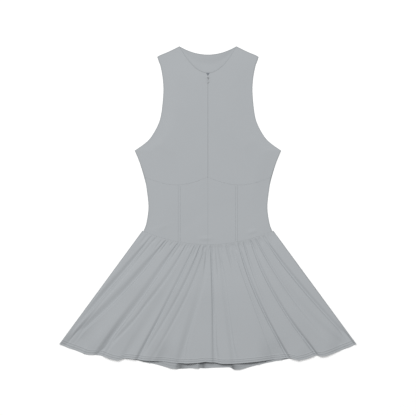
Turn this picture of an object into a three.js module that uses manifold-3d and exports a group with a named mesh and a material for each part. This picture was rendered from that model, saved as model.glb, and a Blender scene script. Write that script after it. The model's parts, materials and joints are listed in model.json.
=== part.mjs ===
// A sleeveless mini dress with a concealed front zip and a gathered skirt, laid flat on its back.
// Millimetres. X runs across the dress, Y up it towards the neck, Z up from the surface it lies on.
// The origin is on that surface, under the middle of the dress.
import * as THREE from 'three';
import { mergeVertices } from 'three/addons/utils/BufferGeometryUtils.js';
import Module from 'manifold-3d';

const wasm = await Module();
wasm.setup();

// Lengths down the dress are measured from the neck point of the shoulder, as a pattern maker does.
const LENGTH = 807; // neck point of the shoulder to the lowest point of the hem
const CLOTH = 1.2; // thickness of the double-knit cloth
const GAP = 0.3; // between pieces that are sewn together or lie on each other
const BASE = CLOTH + GAP; // underside of the front where it lies on the back

// Neck, shoulders and sides, as [distance from the centre line, length down]
const NECK_HALF = 71; // neck point of the shoulder
const FRONT_NECK_DROP = 66;
const BACK_NECK_DROP = 21;
const SHOULDER_TIP = [126.5, 26.5];
const UNDERARM = [182.8, 260.5];
const SHOULDER_LINE = [[NECK_HALF, 0], [98, 13.3], [118.5, 21.8], SHOULDER_TIP];
const ARMHOLE_LINE = [SHOULDER_TIP, [122.4, 39], [118.6, 49], [113, 79], [111.2, 115], [116.6, 169], [125.8, 199],
  [143.6, 229], [161.3, 245.5], UNDERARM];
const SIDE_SEAM_LINE = [UNDERARM, [171, 289], [154, 349], [148.4, 400], [153.5, 441], [161, 462]];

// Seams across the body
const UNDERBUST_SIDE = [158, 327]; // where the seam under the cups meets the side seam
const UNDERBUST_DIP = 19.5; // how far the seam under each cup dips below its two ends
const WAIST_AT_CENTRE = 495;
const WAIST_RISE = 33; // how much higher the skirt seam is at the side than at the centre
const PANEL_SEAM = 74; // centre line to the upright seam of the midriff

// How high the front of the body stands off the back
const BUST_LOFT = 2;
const SEAM_LOFT = 2.6; // at the waist seam, for the body and the skirt
const NECK_TO_LOFT = 90; // the loft is reached this far below the neck point
const LOFT_CHANGE = [400, 80]; // the bust's loft changes to the seam's from here on, over this length
const SIDE_SLOPE = 45; // it is reached this far in from the side seam

// Skirt
const SKIRT_TOP_HALF = 163.6;
const HEM_HALF = 370.8;
const SKIRT_DROP = 290; // about how far it is from the waist seam to the hem
const HEM_BAND = 11.5; // depth of the turned-up hem
const HEM_EXTRA = 0.7; // how much thicker the turned-up hem is
const SKIRT_LOFT = 12; // how far the middle of the front stands off the back
const SKIRT_SIDE_LOFT = 7;
const SKIRT_SIDE_SLOPE = 60; // the middle's loft is reached this far in from the side
const HEM_LOFT = 12.5;
const HEM_SIDE_LOFT = 9;
const HEM_LOFT_CHANGE = [110, 130]; // the hem's loft changes to its side's from this x on, over this width
const SIDE_ROUND = 6; // how far in the rounding of the side edges reaches
const FOLD_FREE_SIDE = 5; // folds fade out this near the side
// Shares of the way from the waist seam to the hem
const ROUND_BY = 0.12; // where the sides have their rounding
const LOFTED_BY = 0.45; // where the front has its full loft
const HEM_LOFT_FROM = 0.6; // where the loft starts to change to the hem's
const FALL_CUT = 0.8; // a fall is still sinking where the hem cuts it, at this share of its soft step

// Folds. Shares are of the way from the waist seam to the hem.
const GATHER_WIDTH = 4.6; // half width of a gather, and of a fold at the waist seam
const WIDE_AT = 0.32; // share at which a fold has its full width
const MIDDLE = 0.4; // share at which it has its depth called atMiddle
const SEAM_RAMP = 9; // how far below the seam folds and gathers reach their depth
const CRISP_SHARE = 0.25; // the steep side of a fold is this share of its soft side
const CRISP_CHANGE = [0.82, 0.18]; // that share changes to the one at the hem from here on, over this share
// lead: how far a fold's bottom is from its line, as a share of its width
const FRONT_HANG = { lead: 0.6, crispAtHem: 0.9 };
const BACK_HANG = { lead: 0, crispAtHem: 0.1 };

// Zip
const ZIP_MOUTH_HALF = 4.2; // half the opening between the two edges at the neckline
const ZIP_MOUTH_DEPTH = 10;
const ZIP_END = 334; // how far down the tape ends
const ZIP_STEPS = [[0.55, 11, 6], [1.15, 1.5, 5]]; // rises of the cloth over it: height, half width, slope's width
const ZIP_RUN_OUT = 20; // the rise over the zip fades out over this length
const TAPE_WIDTH = 12;
const TAPE_THICK = 0.3;
const COIL_HALF = 1.2;
const COIL_HEIGHT = 0.8;
const COIL_LOW = BASE + TAPE_THICK + GAP;
const STOP_LENGTH = 3;
const STOP_HALF = 1.4;
const SLIDER_TOP = 74.8; // how far down the slider starts
const SLIDER_SIZE = [5.2, 8.2, 1.3]; // across, along, high
const SLIDER_BEVEL = 0.25;
const SLIDER_FOOT = 0.32; // half width of its two ends, as a share of its width
const PIN_AT = 0.45; // share of the slider's length
const PIN_RADIUS = 0.55;
const PIN_HEIGHT = 1.9; // the pull's pin above the slider's plate
const LUG_THICK = 0.8;
const LUG_LENGTH = 2.4;
const LUG_OVER_PIN = 0.4;
const PULL_LENGTH = 14;
const PULL_HALF = 2.7;
const PULL_THICK = 1;
const PULL_NECK = 3; // how far from the pin the pull starts to widen
const PULL_EYE_HALF = 1.2; // half width of the pull's head, which turns between the lugs
const PULL_EYE_WALL = 0.55;
const PULL_TILT_DEG = 9.5; // the pull's tip rests on the cloth

const table = (columns, rows) => rows.map((row) => Object.fromEntries(columns.map((c, i) => [c, row[i]])));

// The front hem, from the left corner to the right one.
const FRONT_HEM = table(['x', 'down'], [
  [-370, 743.5], [-356, 750], [-346, 754], [-334, 758], [-316, 765], [-306, 769], [-296, 770.4], [-286, 770],
  [-266, 772.3], [-256, 775.3], [-246, 779.3], [-231, 783], [-224, 784], [-209, 778.6], [-196, 779.3], [-159, 784],
  [-104, 787.8], [-76, 791], [-54, 791.3], [-26, 789.8], [-6, 787], [16, 789], [36, 792], [64, 792], [92, 789.8],
  [120, 787], [161, 782.8], [198, 778.8], [206, 778.3], [226, 783.8], [248, 779.5], [268, 771.5], [284, 773.8],
  [294, 772.8], [314, 766], [342, 755.4], [356, 750.2], [370, 743.5],
]);

// How far the back hem shows below the front hem.
const BACK_HEM = table(['x', 'more'], [
  [-370, 0.6], [-231, 0.6], [-209, 1.6], [-174, 3], [-134, 8], [-94, 15], [-76, 15], [-50, 13.5], [-24, 14.4],
  [-6, 17.5], [16, 14], [36, 10.5], [54, 10], [66, 15], [80, 16.3], [96, 14], [136, 8], [176, 4], [206, 2], [231, 0.6],
  [370, 0.6],
]);

// Threads of the skirt: x on the waist seam, x at the hem, and bow, which is how far they bend sideways.
const THREADS = table(['waist', 'hem', 'bow'], [
  [-SKIRT_TOP_HALF, -HEM_HALF, 0], [-138, -358, 2], [-107, -340, 5], [-76, -283, 1], [-56, -240, 5],
  [-33.5, -184, 4], [-14, -121, 3], [5, 8, 1], [24, 60, 0], [45, 124, -1], [72, 204, -9], [101, 270, -12],
  [131, 340, -8], [150, 360, -2], [SKIRT_TOP_HALF, HEM_HALF, 0],
]);

// Folds of the front of the skirt: valleys that run from the waist seam to the hem.
// waist, hem: x at the two ends; bow: sideways bend; three depths; width: its soft side's; lean: that side.
const FOLD_COLUMNS = ['waist', 'hem', 'bow', 'atWaist', 'atMiddle', 'atHem', 'width', 'lean'];
const FRONT_FOLDS = table(FOLD_COLUMNS, [
  [-139, -377, 0, 2.6, 4.6, 2, 14, -1],
  [-129, -361, 0, 1.6, 0.9, 0.5, 7, -1],
  [-104, -371, 8, 2.6, 4.4, 4.4, 20, -1],
  [-88, -337, 2, 0, 0.8, 5.4, 36, 0],
  [-74, -283, 0, 2.6, 3.8, 7.6, 19, -1],
  [-54, -279, 17, 1.8, 2.2, 2.2, 12, -1],
  [-30, -209, 2, 0, 1.2, 2, 20, 0],
  [-33, -181, 2, 1.8, 3.2, 4.8, 10, -1],
  [-19, -176, 11, 2.8, 2, 1, 9, -1],
  [-6, -149, 11.5, 2, 1.9, 0.8, 9, -1],
  [-14, -117, 3, 0, 0.2, 2.4, 24, 0],
  [5, -80, 0, 0.6, 1.5, 4.6, 20, -1],
  [5, 11, 2, 2.8, 3.6, 0.8, 5, -1],
  [5, 12, 1, 0, 0.8, 4.4, 14, -1],
  [23, 60, -1, 1, 1.8, 3, 15, -1],
  [62, 170, -1.5, 1.4, 1.8, 1, 7, 1],
  [66, 172, -4, 0, 0.3, 3.6, 34, 0],
  [77, 206, -12, 2.6, 3.6, 6.4, 8, 1],
  [90, 214, -9, 2.6, 1.4, 0, 8, 1],
  [107, 277, -16, 2.2, 3.2, 5.4, 8, 1],
  [101, 281, -17, 0, 0.3, 1.8, 16, 1],
  [119, 330, -14, 3, 1.6, 0, 7, 1],
  [124, 344, -24, 0.6, 3.4, 3.4, 18, 0],
  [131, 362, -12, 1, 0.2, 0.4, 6, 1],
  [137.5, 371, -7, 3.2, 4.6, 2.6, 10, 1],
  [120, 370, 0, 0, 0.4, 4.6, 38, 0],
]);

// Short gathers of the front, which fade out below the seam.
const FRONT_GATHERS = table(['waist', 'length', 'depth'], [
  [-159, 20, 0.8], [-148, 34, 1.2], [-125, 20, 1], [-112, 30, 0.8], [-96, 44, 1.8], [-85, 18, 1.4], [-65, 60, 1.2],
  [-60, 20, 1.2], [-45, 26, 1], [-39, 18, 0.9], [-24.5, 40, 1.2], [-8, 24, 1.6], [-1.5, 90, 1.6], [12.5, 34, 1.2],
  [19, 100, 1.5], [28, 70, 1.4], [33.5, 34, 1.3], [45, 80, 1.5], [52, 22, 1], [57, 60, 1.2], [64.5, 28, 1.2],
  [79, 26, 1.1], [92.5, 20, 1], [100, 20, 1.3], [105, 34, 1], [112, 44, 1.2], [125.5, 24, 1.4], [138.5, 20, 1.3],
  [147, 36, 1], [152, 24, 0.8], [158.5, 18, 0.6],
]);

// Places where the front sinks towards the back as it nears the hem.
// x: the middle; halfWide: half the width; reach: how far above the hem it starts; depth: how far it sinks there.
const HEM_FALLS = table(['x', 'halfWide', 'reach', 'depth'], [
  [-306, 56, 80, 8],
  [-104, 56, 60, 9],
  [166, 50, 60, 8],
  [334, 44, 70, 7],
  [248, 30, 30, 3],
]);

// Folds of the back of the skirt: they rise off the surface, and from below they are grooves.
const BACK_FOLDS = table(FOLD_COLUMNS, [
  [-143, -354, 2, 0.9, 2, 1.4, 13, 1],
  [-119, -312, 4, 0.9, 2.6, 2.4, 16, 1],
  [-93, -262, 3, 1, 3, 3, 19, 1],
  [-68, -204, 2, 0.9, 2.6, 3.2, 18, 1],
  [-46, -146, 0, 0.9, 2.4, 2.8, 17, -1],
  [-27, -80, 0, 1, 2.2, 6.6, 50, -1],
  [-7, -23, 0, 0.9, 2.4, 7, 22, -1],
  [22, 65, 0, 1, 2.6, 7, 50, 1],
  [49, 126, -2, 0.9, 2.4, 2.6, 17, 1],
  [71, 186, -3, 0.9, 2.8, 3.2, 19, -1],
  [97, 248, -4, 1, 3, 2.8, 18, -1],
  [121, 308, -4, 0.9, 2.4, 2.2, 15, -1],
  [144, 353, -2, 0.9, 2, 1.4, 13, -1],
]);
const BACK_GATHERS = table(['waist', 'length', 'depth'], [
  [-157, 20, 0.5], [-131, 26, 0.7], [-106, 22, 0.6], [-85, 34, 0.7], [-77, 18, 0.6], [-57, 30, 0.7], [-37, 24, 0.6],
  [-17, 36, 0.7], [3, 22, 0.6], [12, 40, 0.7], [32, 26, 0.6], [41, 18, 0.6], [60, 34, 0.7], [82, 20, 0.6],
  [90, 30, 0.6], [109, 24, 0.7], [132, 28, 0.7], [157, 20, 0.5],
]);

// Shares of the way down of the skirt's rows, above the hem band
const SKIRT_ROWS = [0, 0.03, 0.08, 0.16, 0.27, 0.4, 0.54, 0.69, 0.83, 0.92];
const SKIRT_COLUMNS = 136;

const lerp = THREE.MathUtils.lerp;
const smooth = (t) => THREE.MathUtils.smoothstep(t, 0, 1);
const hump = (away) => (Math.abs(away) < 1 ? 0.5 + 0.5 * Math.cos(Math.PI * away) : 0);
const yAt = (down) => LENGTH / 2 - down;
const steps = (n) => Array.from({ length: n + 1 }, (_, i) => i / n);
const between = (from, to, n) => steps(n).map((t) => lerp(from, to, t));

// Straight interpolation in a table sorted by its first named column.
function lookUp(rows, key, value, at) {
  const next = Math.max(1, rows.findIndex((row, i) => i > 0 && (row[key] >= at || i === rows.length - 1)));
  const [a, b] = [rows[next - 1], rows[next]];
  return lerp(a[value], b[value], THREE.MathUtils.clamp((at - a[key]) / (b[key] - a[key]), 0, 1));
}

// Points evenly spaced along a smooth line through a few named ones, as [x, down].
function along(points, count) {
  const curve = new THREE.SplineCurve(points.map(([x, down]) => new THREE.Vector2(x, down)));
  return curve.getSpacedPoints(count).map((p) => [p.x, p.y]);
}

const frontNeckDown = (x) => FRONT_NECK_DROP * (1 - (x / NECK_HALF) ** 2);
const backNeckDown = (x) => BACK_NECK_DROP * (1 - (x / NECK_HALF) ** 2);
const waistDown = (x) => WAIST_AT_CENTRE - WAIST_RISE * (x / SIDE_SEAM_LINE.at(-1)[0]) ** 2;
function underbustDown(x) {
  const [half, down] = UNDERBUST_SIDE;
  return down + UNDERBUST_DIP * Math.sin(Math.PI * Math.min(1, x / half));
}

// Half width of the body at a length down it.
const SIDES = table(['half', 'down'], [...along(ARMHOLE_LINE, 24), ...along(SIDE_SEAM_LINE, 20).slice(1)]);
const halfAt = (down) => lookUp(SIDES, 'down', 'half', down);

// Underside of the front of the body: it lies on the back at the sides, and is lofted a little between them.
function frontUnderside(x, down) {
  const [from, length] = LOFT_CHANGE;
  const loft = lerp(BUST_LOFT, SEAM_LOFT, smooth((down - from) / length)) * smooth(down / NECK_TO_LOFT);
  const inFromSide = smooth((halfAt(down) - Math.abs(x)) / SIDE_SLOPE);
  const overZip = 1 - smooth((down - ZIP_END) / ZIP_RUN_OUT);
  const riseOf = ([rise, start, wide]) => rise * (1 - smooth((Math.abs(x) - start) / wide));
  const zipRise = ZIP_STEPS.reduce((sum, step) => sum + riseOf(step), 0);
  return BASE + Math.max(loft * inFromSide, overZip * zipRise);
}

// A closed wall over a grid of points { x, y, low, high }. Rows run down the dress, and points of a row to the right.
function wall(rows) {
  const [count, across] = [rows.length, rows[0].length];
  const position = [];
  for (const side of ['low', 'high']) rows.flat().forEach((p) => position.push(p.x, p.y, p[side]));
  const low = (i, j) => i * across + j;
  const high = (i, j) => count * across + i * across + j;
  const index = [];
  const quad = (a, b, c, d) => index.push(a, b, c, a, c, d);
  for (let i = 0; i < count - 1; i++) {
    for (let j = 0; j < across - 1; j++) {
      quad(high(i, j), high(i + 1, j), high(i + 1, j + 1), high(i, j + 1));
      quad(low(i, j), low(i, j + 1), low(i + 1, j + 1), low(i + 1, j));
    }
    quad(low(i, 0), low(i + 1, 0), high(i + 1, 0), high(i, 0));
    quad(high(i, across - 1), high(i + 1, across - 1), low(i + 1, across - 1), low(i, across - 1));
  }
  for (let j = 0; j < across - 1; j++) {
    quad(high(0, j), high(0, j + 1), low(0, j + 1), low(0, j));
    quad(low(count - 1, j), low(count - 1, j + 1), high(count - 1, j + 1), high(count - 1, j));
  }
  const geometry = new THREE.BufferGeometry();
  geometry.setAttribute('position', new THREE.Float32BufferAttribute(position, 3));
  geometry.setIndex(index);
  return geometry;
}

// A grid between four edges that share their corners: each point is blended from the edges it lies between.
function patch(top, bottom, left, right) {
  const [down, across] = [left.length - 1, top.length - 1];
  return left.map((_, i) => top.map((__, j) => {
    const [u, v] = [j / across, i / down];
    return [0, 1].map((k) => lerp(top[j][k], bottom[j][k], v) + lerp(left[i][k], right[i][k], u)
      - lerp(lerp(top[0][k], top[across][k], u), lerp(bottom[0][k], bottom[across][k], u), v));
  }));
}

// A cloth wall over a grid of [x, down], on the height that a function gives for its underside.
const clothOver = (grid, underside) => wall(grid.map((row) => row.map(([x, down]) => {
  const low = underside(x, down);
  return { x, y: yAt(down), low, high: low + CLOTH };
})));

const mirrored = (line) => line.map(([x, down]) => [-x, down]);
const mirroredGrid = (grid) => grid.map((row) => mirrored(row).reverse());

// The edge of the right front beside the zip, from the neckline down: a short open mouth, then the slit.
function zipEdge(top, bottom, count) {
  return steps(count).map((t) => {
    const down = lerp(top, bottom, t ** 1.8); // closer together in the mouth
    const open = 1 - smooth((down - top) / ZIP_MOUTH_DEPTH);
    return [lerp(GAP / 2, ZIP_MOUTH_HALF, open), down];
  });
}

// Right front: neckline and shoulder above, zip on its left, armhole and side seam on its right, cup seam below.
function rightFront() {
  const [neckSteps, shoulderSteps, armSteps, sideSteps] = [6, 4, 10, 4];
  const neck = between(ZIP_MOUTH_HALF, NECK_HALF, neckSteps).map((x) => [x, frontNeckDown(x)]);
  const top = [...neck, ...along(SHOULDER_LINE, shoulderSteps).slice(1)];
  const sideEnd = [...SIDE_SEAM_LINE.slice(0, 2), UNDERBUST_SIDE];
  const right = [...along(ARMHOLE_LINE, armSteps), ...along(sideEnd, sideSteps).slice(1)];
  const bottom = between(GAP / 2, UNDERBUST_SIDE[0], top.length - 1).map((x) => [x, underbustDown(x)]);
  const left = zipEdge(top[0][1], bottom[0][1], right.length - 1);
  return patch(top, bottom, left, right);
}

// A midriff panel between two upright lines, each a list of [x, down] from the cup seam to the waist seam.
function midriffPanel(left, right, count) {
  const edge = (end, downOf) => between(left.at(end)[0], right.at(end)[0], count).map((x) => [x, downOf(x)]);
  return patch(edge(0, (x) => underbustDown(x) + GAP), edge(-1, (x) => waistDown(x) - GAP / 2), left, right);
}

// An upright seam line of the midriff, straight down from the cup seam to the waist seam.
const upright = (x, count) => between(underbustDown(x) + GAP, waistDown(x) - GAP / 2, count).map((down) => [x, down]);

// Where the side seam of the body ends, just above the waist seam.
const SIDE_END = [SIDE_SEAM_LINE.at(-1)[0], waistDown(SIDE_SEAM_LINE.at(-1)[0]) - GAP / 2];

function sideOfMidriff(count) {
  const [half, down] = UNDERBUST_SIDE;
  return along([[half, down + GAP], ...SIDE_SEAM_LINE.slice(2, -1), SIDE_END], count);
}

// The back of the body in one piece, from the shoulders to the waist seam.
function backPanel() {
  const [neckSteps, shoulderSteps, armSteps, sideSteps] = [10, 3, 9, 7];
  const neck = between(-NECK_HALF, NECK_HALF, neckSteps).map((x) => [x, backNeckDown(x)]);
  const shoulder = along(SHOULDER_LINE, shoulderSteps);
  const top = [...mirrored(shoulder).reverse(), ...neck.slice(1, -1), ...shoulder];
  const side = along([...SIDE_SEAM_LINE.slice(0, -1), SIDE_END], sideSteps);
  const right = [...along(ARMHOLE_LINE, armSteps), ...side.slice(1)];
  const bottom = between(-SIDE_END[0], SIDE_END[0], top.length - 1).map((x) => [x, waistDown(x) - GAP / 2]);
  return patch(top, bottom, mirrored(right), right);
}

// Where a thread of the skirt that starts at x on the waist seam has got to, a share t of the way to the hem.
function threadX(waist, t) {
  const [hem, bow] = [lookUp(THREADS, 'waist', 'hem', waist), lookUp(THREADS, 'waist', 'bow', waist)];
  return lerp(waist, hem, t) + 4 * bow * t * (1 - t);
}

const skirtHalf = (t) => lerp(SKIRT_TOP_HALF, HEM_HALF, t);

// Height of a fold above x, a share t of the way down: a hump, wide on one side and steep on the other.
function oneFold(fold, hang, x, t) {
  const line = lerp(fold.waist, fold.hem, t) + 4 * fold.bow * t * (1 - t);
  const width = lerp(GATHER_WIDTH, fold.width, smooth(t / WIDE_AT));
  const off = x - (line - fold.lean * hang.lead * width);
  const onSoftSide = fold.lean === 0 || off * fold.lean > 0;
  const crispShare = lerp(CRISP_SHARE, hang.crispAtHem, smooth((t - CRISP_CHANGE[0]) / CRISP_CHANGE[1]));
  const size = t < MIDDLE ? lerp(fold.atWaist, fold.atMiddle, smooth(t / MIDDLE))
    : lerp(fold.atMiddle, fold.atHem, smooth((t - MIDDLE) / (1 - MIDDLE)));
  return size * hump(off / (onSoftSide ? width : width * crispShare + 1));
}

// Height of a gather above x, a share t of the way down.
function oneGather(gather, x, t) {
  const left = 1 - (t * SKIRT_DROP) / gather.length;
  return gather.depth * smooth(left * 2) * hump((x - threadX(gather.waist, t)) / GATHER_WIDTH);
}

// Height of all folds and gathers of one side of the skirt.
function foldHeight(folds, gathers, hang, x, t) {
  const foldSum = folds.reduce((sum, fold) => sum + oneFold(fold, hang, x, t), 0);
  const gatherSum = gathers.reduce((sum, gather) => sum + oneGather(gather, x, t), 0);
  return (foldSum + gatherSum) * smooth((t * SKIRT_DROP) / SEAM_RAMP);
}

// How far the front sinks near the hem.
function hemFall(x, t) {
  return HEM_FALLS.reduce((sum, { x: middle, halfWide, reach, depth }) => {
    const share = ((t - 1) * SKIRT_DROP + reach) / reach;
    return sum + depth * hump((x - middle) / halfWide) * smooth(share * FALL_CUT);
  }, 0);
}

const backUnderside = (x, t) => foldHeight(BACK_FOLDS, BACK_GATHERS, BACK_HANG, x, t);

// A wall that slopes is taller in z, so that it is as thick across as a level one.
function tall(underside, x, t) {
  const slope = underside(x + 1, t) - underside(x - 1, t);
  return CLOTH * Math.min(2, Math.hypot(1, slope / 2));
}

// Underside of the skirt's front: lofted, round at the sides, with folds that sink to the back and rest on it.
function skirtFrontUnderside(x, t) {
  const inside = skirtHalf(t) - Math.abs(x);
  const above = lerp(SKIRT_SIDE_LOFT, SKIRT_LOFT, smooth(inside / SKIRT_SIDE_SLOPE));
  const atHem = lerp(HEM_LOFT, HEM_SIDE_LOFT, smooth((Math.abs(x) - HEM_LOFT_CHANGE[0]) / HEM_LOFT_CHANGE[1]));
  const crown = lerp(above, atHem, smooth((t - HEM_LOFT_FROM) / (1 - HEM_LOFT_FROM)));
  const quarterRound = Math.sqrt(1 - (1 - THREE.MathUtils.clamp(inside / SIDE_ROUND, 0, 1)) ** 2);
  const rounded = lerp(smooth(inside / SIDE_SLOPE), quarterRound, smooth(t / ROUND_BY));
  const loft = lerp(SEAM_LOFT, crown, smooth(t / LOFTED_BY)) * rounded;
  const folds = foldHeight(FRONT_FOLDS, FRONT_GATHERS, FRONT_HANG, x, t) + hemFall(x, t);
  const onBack = backUnderside(x, t) + tall(backUnderside, x, t) + GAP;
  return Math.max(onBack, BASE + loft - folds * smooth(inside / FOLD_FREE_SIDE));
}

// Where the skirt's columns start on the waist seam: evenly by their share of the seam plus that of the hem.
function skirtColumns() {
  const fine = between(-SKIRT_TOP_HALF, SKIRT_TOP_HALF, 1000)
    .map((waist) => ({ waist, share: waist / SKIRT_TOP_HALF + threadX(waist, 1) / HEM_HALF }));
  return between(-2, 2, SKIRT_COLUMNS - 1).map((share) => lookUp(fine, 'share', 'waist', share));
}

// The grid of the skirt. The back has the front's grid and one more row, because its hem shows below.
function skirtGrid(side) {
  const columns = skirtColumns();
  const pointAt = (waist, t) => {
    const x = threadX(waist, t);
    const across = x / skirtHalf(t);
    const top = waistDown(across * SKIRT_TOP_HALF) + GAP / 2;
    return { t, x, down: lerp(top, lookUp(FRONT_HEM, 'x', 'down', across * HEM_HALF), t) };
  };
  const bandTop = 1 - HEM_BAND / SKIRT_DROP;
  const rows = [...SKIRT_ROWS, bandTop, 1].map((t) => columns.map((waist) => pointAt(waist, t)));
  if (side === 'front') return rows;
  const last = rows.at(-1).map(({ t, x, down }) => ({ t, x, down: down + lookUp(BACK_HEM, 'x', 'more', x) }));
  return [...rows, last];
}

function skirt(side) {
  const underside = side === 'front' ? skirtFrontUnderside : backUnderside;
  const grid = skirtGrid(side);
  return wall(grid.map((row, i) => row.map(({ x, down, t }) => {
    const low = underside(x, t);
    const hem = i === grid.length - 1 && side === 'front' ? HEM_EXTRA : 0;
    return { x, y: yAt(down), low, high: low + tall(underside, x, t) + hem };
  })));
}

// Zip parts. Each tape is sewn under the edge of its front panel, and the coil lies on both tapes' inner edges.
const boxAt = (width, length, height, x, y, z) => new THREE.BoxGeometry(width, length, height).translate(x, y, z);
const ZIP_LENGTH = ZIP_END - FRONT_NECK_DROP;

const zipTape = (side) => boxAt(TAPE_WIDTH, ZIP_LENGTH, TAPE_THICK,
  side * (GAP / 2 + TAPE_WIDTH / 2), yAt(FRONT_NECK_DROP + ZIP_LENGTH / 2), BASE + TAPE_THICK / 2);

const COIL_ENDS = [SLIDER_TOP + 2, ZIP_END - STOP_LENGTH - 2]; // how far down it starts and ends
const zipCoil = () => boxAt(2 * COIL_HALF, COIL_ENDS[1] - COIL_ENDS[0], COIL_HEIGHT,
  0, yAt((COIL_ENDS[0] + COIL_ENDS[1]) / 2), COIL_LOW + COIL_HEIGHT / 2);

const zipStop = () => boxAt(2 * STOP_HALF, STOP_LENGTH, COIL_HEIGHT,
  0, yAt(COIL_ENDS[1] + GAP + STOP_LENGTH / 2), COIL_LOW + COIL_HEIGHT / 2);

const sliderLow = frontUnderside(0, SLIDER_TOP) + CLOTH + GAP;
const pinY = yAt(SLIDER_TOP + SLIDER_SIZE[1] * PIN_AT);
const pinZ = sliderLow + SLIDER_SIZE[2] + PIN_HEIGHT;

function solidOf(geometry) {
  const bare = geometry.clone();
  bare.deleteAttribute('normal');
  bare.deleteAttribute('uv');
  const merged = mergeVertices(bare, 1e-4);
  const triVerts = new Uint32Array(merged.index.array);
  return new wasm.Manifold(new wasm.Mesh({ numProp: 3, vertProperties: merged.attributes.position.array, triVerts }));
}

function geometryOf(solid) {
  const mesh = solid.getMesh();
  const geometry = new THREE.BufferGeometry();
  geometry.setAttribute('position', new THREE.BufferAttribute(mesh.vertProperties, 3));
  geometry.setIndex(new THREE.BufferAttribute(mesh.triVerts, 1));
  return geometry;
}

const crossPin = (radius, length) => new THREE.CylinderGeometry(radius, radius, length, 16).rotateZ(Math.PI / 2);

// Slider: a shield-shaped plate with two lugs, and the pin between them that the pull hangs on.
function zipSlider() {
  const [width, length, height] = SLIDER_SIZE;
  const [half, top, foot] = [width / 2, length / 2, width * SLIDER_FOOT];
  const shield = new THREE.Shape();
  shield.moveTo(-foot, -top);
  shield.lineTo(foot, -top);
  shield.quadraticCurveTo(foot, 0, half, top / 2);
  shield.quadraticCurveTo(half, top, foot, top);
  shield.lineTo(-foot, top);
  shield.quadraticCurveTo(-half, top, -half, top / 2);
  shield.quadraticCurveTo(-foot, 0, -foot, -top);
  const plate = new THREE.ExtrudeGeometry(shield, {
    depth: height - 2 * SLIDER_BEVEL,
    bevelThickness: SLIDER_BEVEL,
    bevelSize: SLIDER_BEVEL,
    bevelOffset: -SLIDER_BEVEL,
    bevelSegments: 2,
    curveSegments: 6,
  }).translate(0, yAt(SLIDER_TOP + top), sliderLow + SLIDER_BEVEL);
  const sunk = 0.1; // the lugs grow out of the plate
  const lugHeight = PIN_HEIGHT + PIN_RADIUS + LUG_OVER_PIN + sunk;
  const lugX = PULL_EYE_HALF + GAP + LUG_THICK / 2;
  const lugZ = sliderLow + height + lugHeight / 2 - sunk;
  const lug = (side) => boxAt(LUG_THICK, LUG_LENGTH, lugHeight, side * lugX, pinY, lugZ);
  const pin = crossPin(PIN_RADIUS, 2 * lugX).translate(0, pinY, pinZ);
  return geometryOf([lug(-1), lug(1), pin].reduce((solid, part) => solid.add(solidOf(part)), solidOf(plate)));
}

// Pull: a flat drop with a narrow head, bored for the pin. It points down the dress from the pin.
function zipPull() {
  const eyeRadius = PIN_RADIUS + GAP;
  const headRadius = eyeRadius + PULL_EYE_WALL;
  const top = -headRadius * 0.6;
  const wide = -PULL_LENGTH + 1.5 * PULL_HALF;
  const drop = new THREE.Shape();
  drop.moveTo(-PULL_EYE_HALF, top);
  drop.lineTo(-PULL_EYE_HALF, -PULL_NECK);
  drop.quadraticCurveTo(-PULL_EYE_HALF, -1.8 * PULL_NECK, -PULL_HALF, wide);
  drop.absarc(0, -PULL_LENGTH + PULL_HALF, PULL_HALF, Math.PI, 2 * Math.PI, false);
  drop.lineTo(PULL_HALF, wide);
  drop.quadraticCurveTo(PULL_EYE_HALF, -1.8 * PULL_NECK, PULL_EYE_HALF, -PULL_NECK);
  drop.lineTo(PULL_EYE_HALF, top);
  const blade = new THREE.ExtrudeGeometry(drop, { depth: PULL_THICK, bevelEnabled: false, curveSegments: 8 })
    .translate(0, 0, -PULL_THICK / 2);
  const head = crossPin(headRadius, 2 * PULL_EYE_HALF);
  return geometryOf(solidOf(blade).add(solidOf(head)).subtract(solidOf(crossPin(eyeRadius, 4 * PULL_EYE_HALF))));
}

const CLOTH_LOOK = { color: '#adb1b4', roughness: 0.85, metalness: 0 };
const ZIP_CLOTH_LOOK = { color: '#9a9ea2', roughness: 0.9, metalness: 0 };
const ZIP_COIL_LOOK = { color: '#8f9397', roughness: 0.5, metalness: 0 };
const ZIP_METAL_LOOK = { color: '#a3a7ab', roughness: 0.4, metalness: 0.4 };

const dress = new THREE.Group();
function add(name, geometry, look) {
  const mesh = new THREE.Mesh(geometry, new THREE.MeshStandardMaterial(look));
  mesh.name = name;
  dress.add(mesh);
  return mesh;
}

const MIDRIFF_ROWS = 7;
const centrePanel = midriffPanel(upright(GAP / 2, MIDRIFF_ROWS), upright(PANEL_SEAM - GAP / 2, MIDRIFF_ROWS), 4);
const sidePanel = midriffPanel(upright(PANEL_SEAM + GAP / 2, MIDRIFF_ROWS), sideOfMidriff(MIDRIFF_ROWS), 5);

add('back', clothOver(backPanel(), () => 0), CLOTH_LOOK);
add('front_right', clothOver(rightFront(), frontUnderside), CLOTH_LOOK);
add('front_left', clothOver(mirroredGrid(rightFront()), frontUnderside), CLOTH_LOOK);
add('midriff_centre_right', clothOver(centrePanel, frontUnderside), CLOTH_LOOK);
add('midriff_centre_left', clothOver(mirroredGrid(centrePanel), frontUnderside), CLOTH_LOOK);
add('midriff_side_right', clothOver(sidePanel, frontUnderside), CLOTH_LOOK);
add('midriff_side_left', clothOver(mirroredGrid(sidePanel), frontUnderside), CLOTH_LOOK);
add('skirt_back', skirt('back'), CLOTH_LOOK);
add('skirt_front', skirt('front'), CLOTH_LOOK);
add('zip_tape_left', zipTape(-1), ZIP_CLOTH_LOOK);
add('zip_tape_right', zipTape(1), ZIP_CLOTH_LOOK);
add('zip_coil', zipCoil(), ZIP_COIL_LOOK);
add('zip_stop', zipStop(), ZIP_METAL_LOOK);
add('zip_slider', zipSlider(), ZIP_METAL_LOOK);
const pull = add('zip_pull', zipPull(), ZIP_METAL_LOOK);
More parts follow.
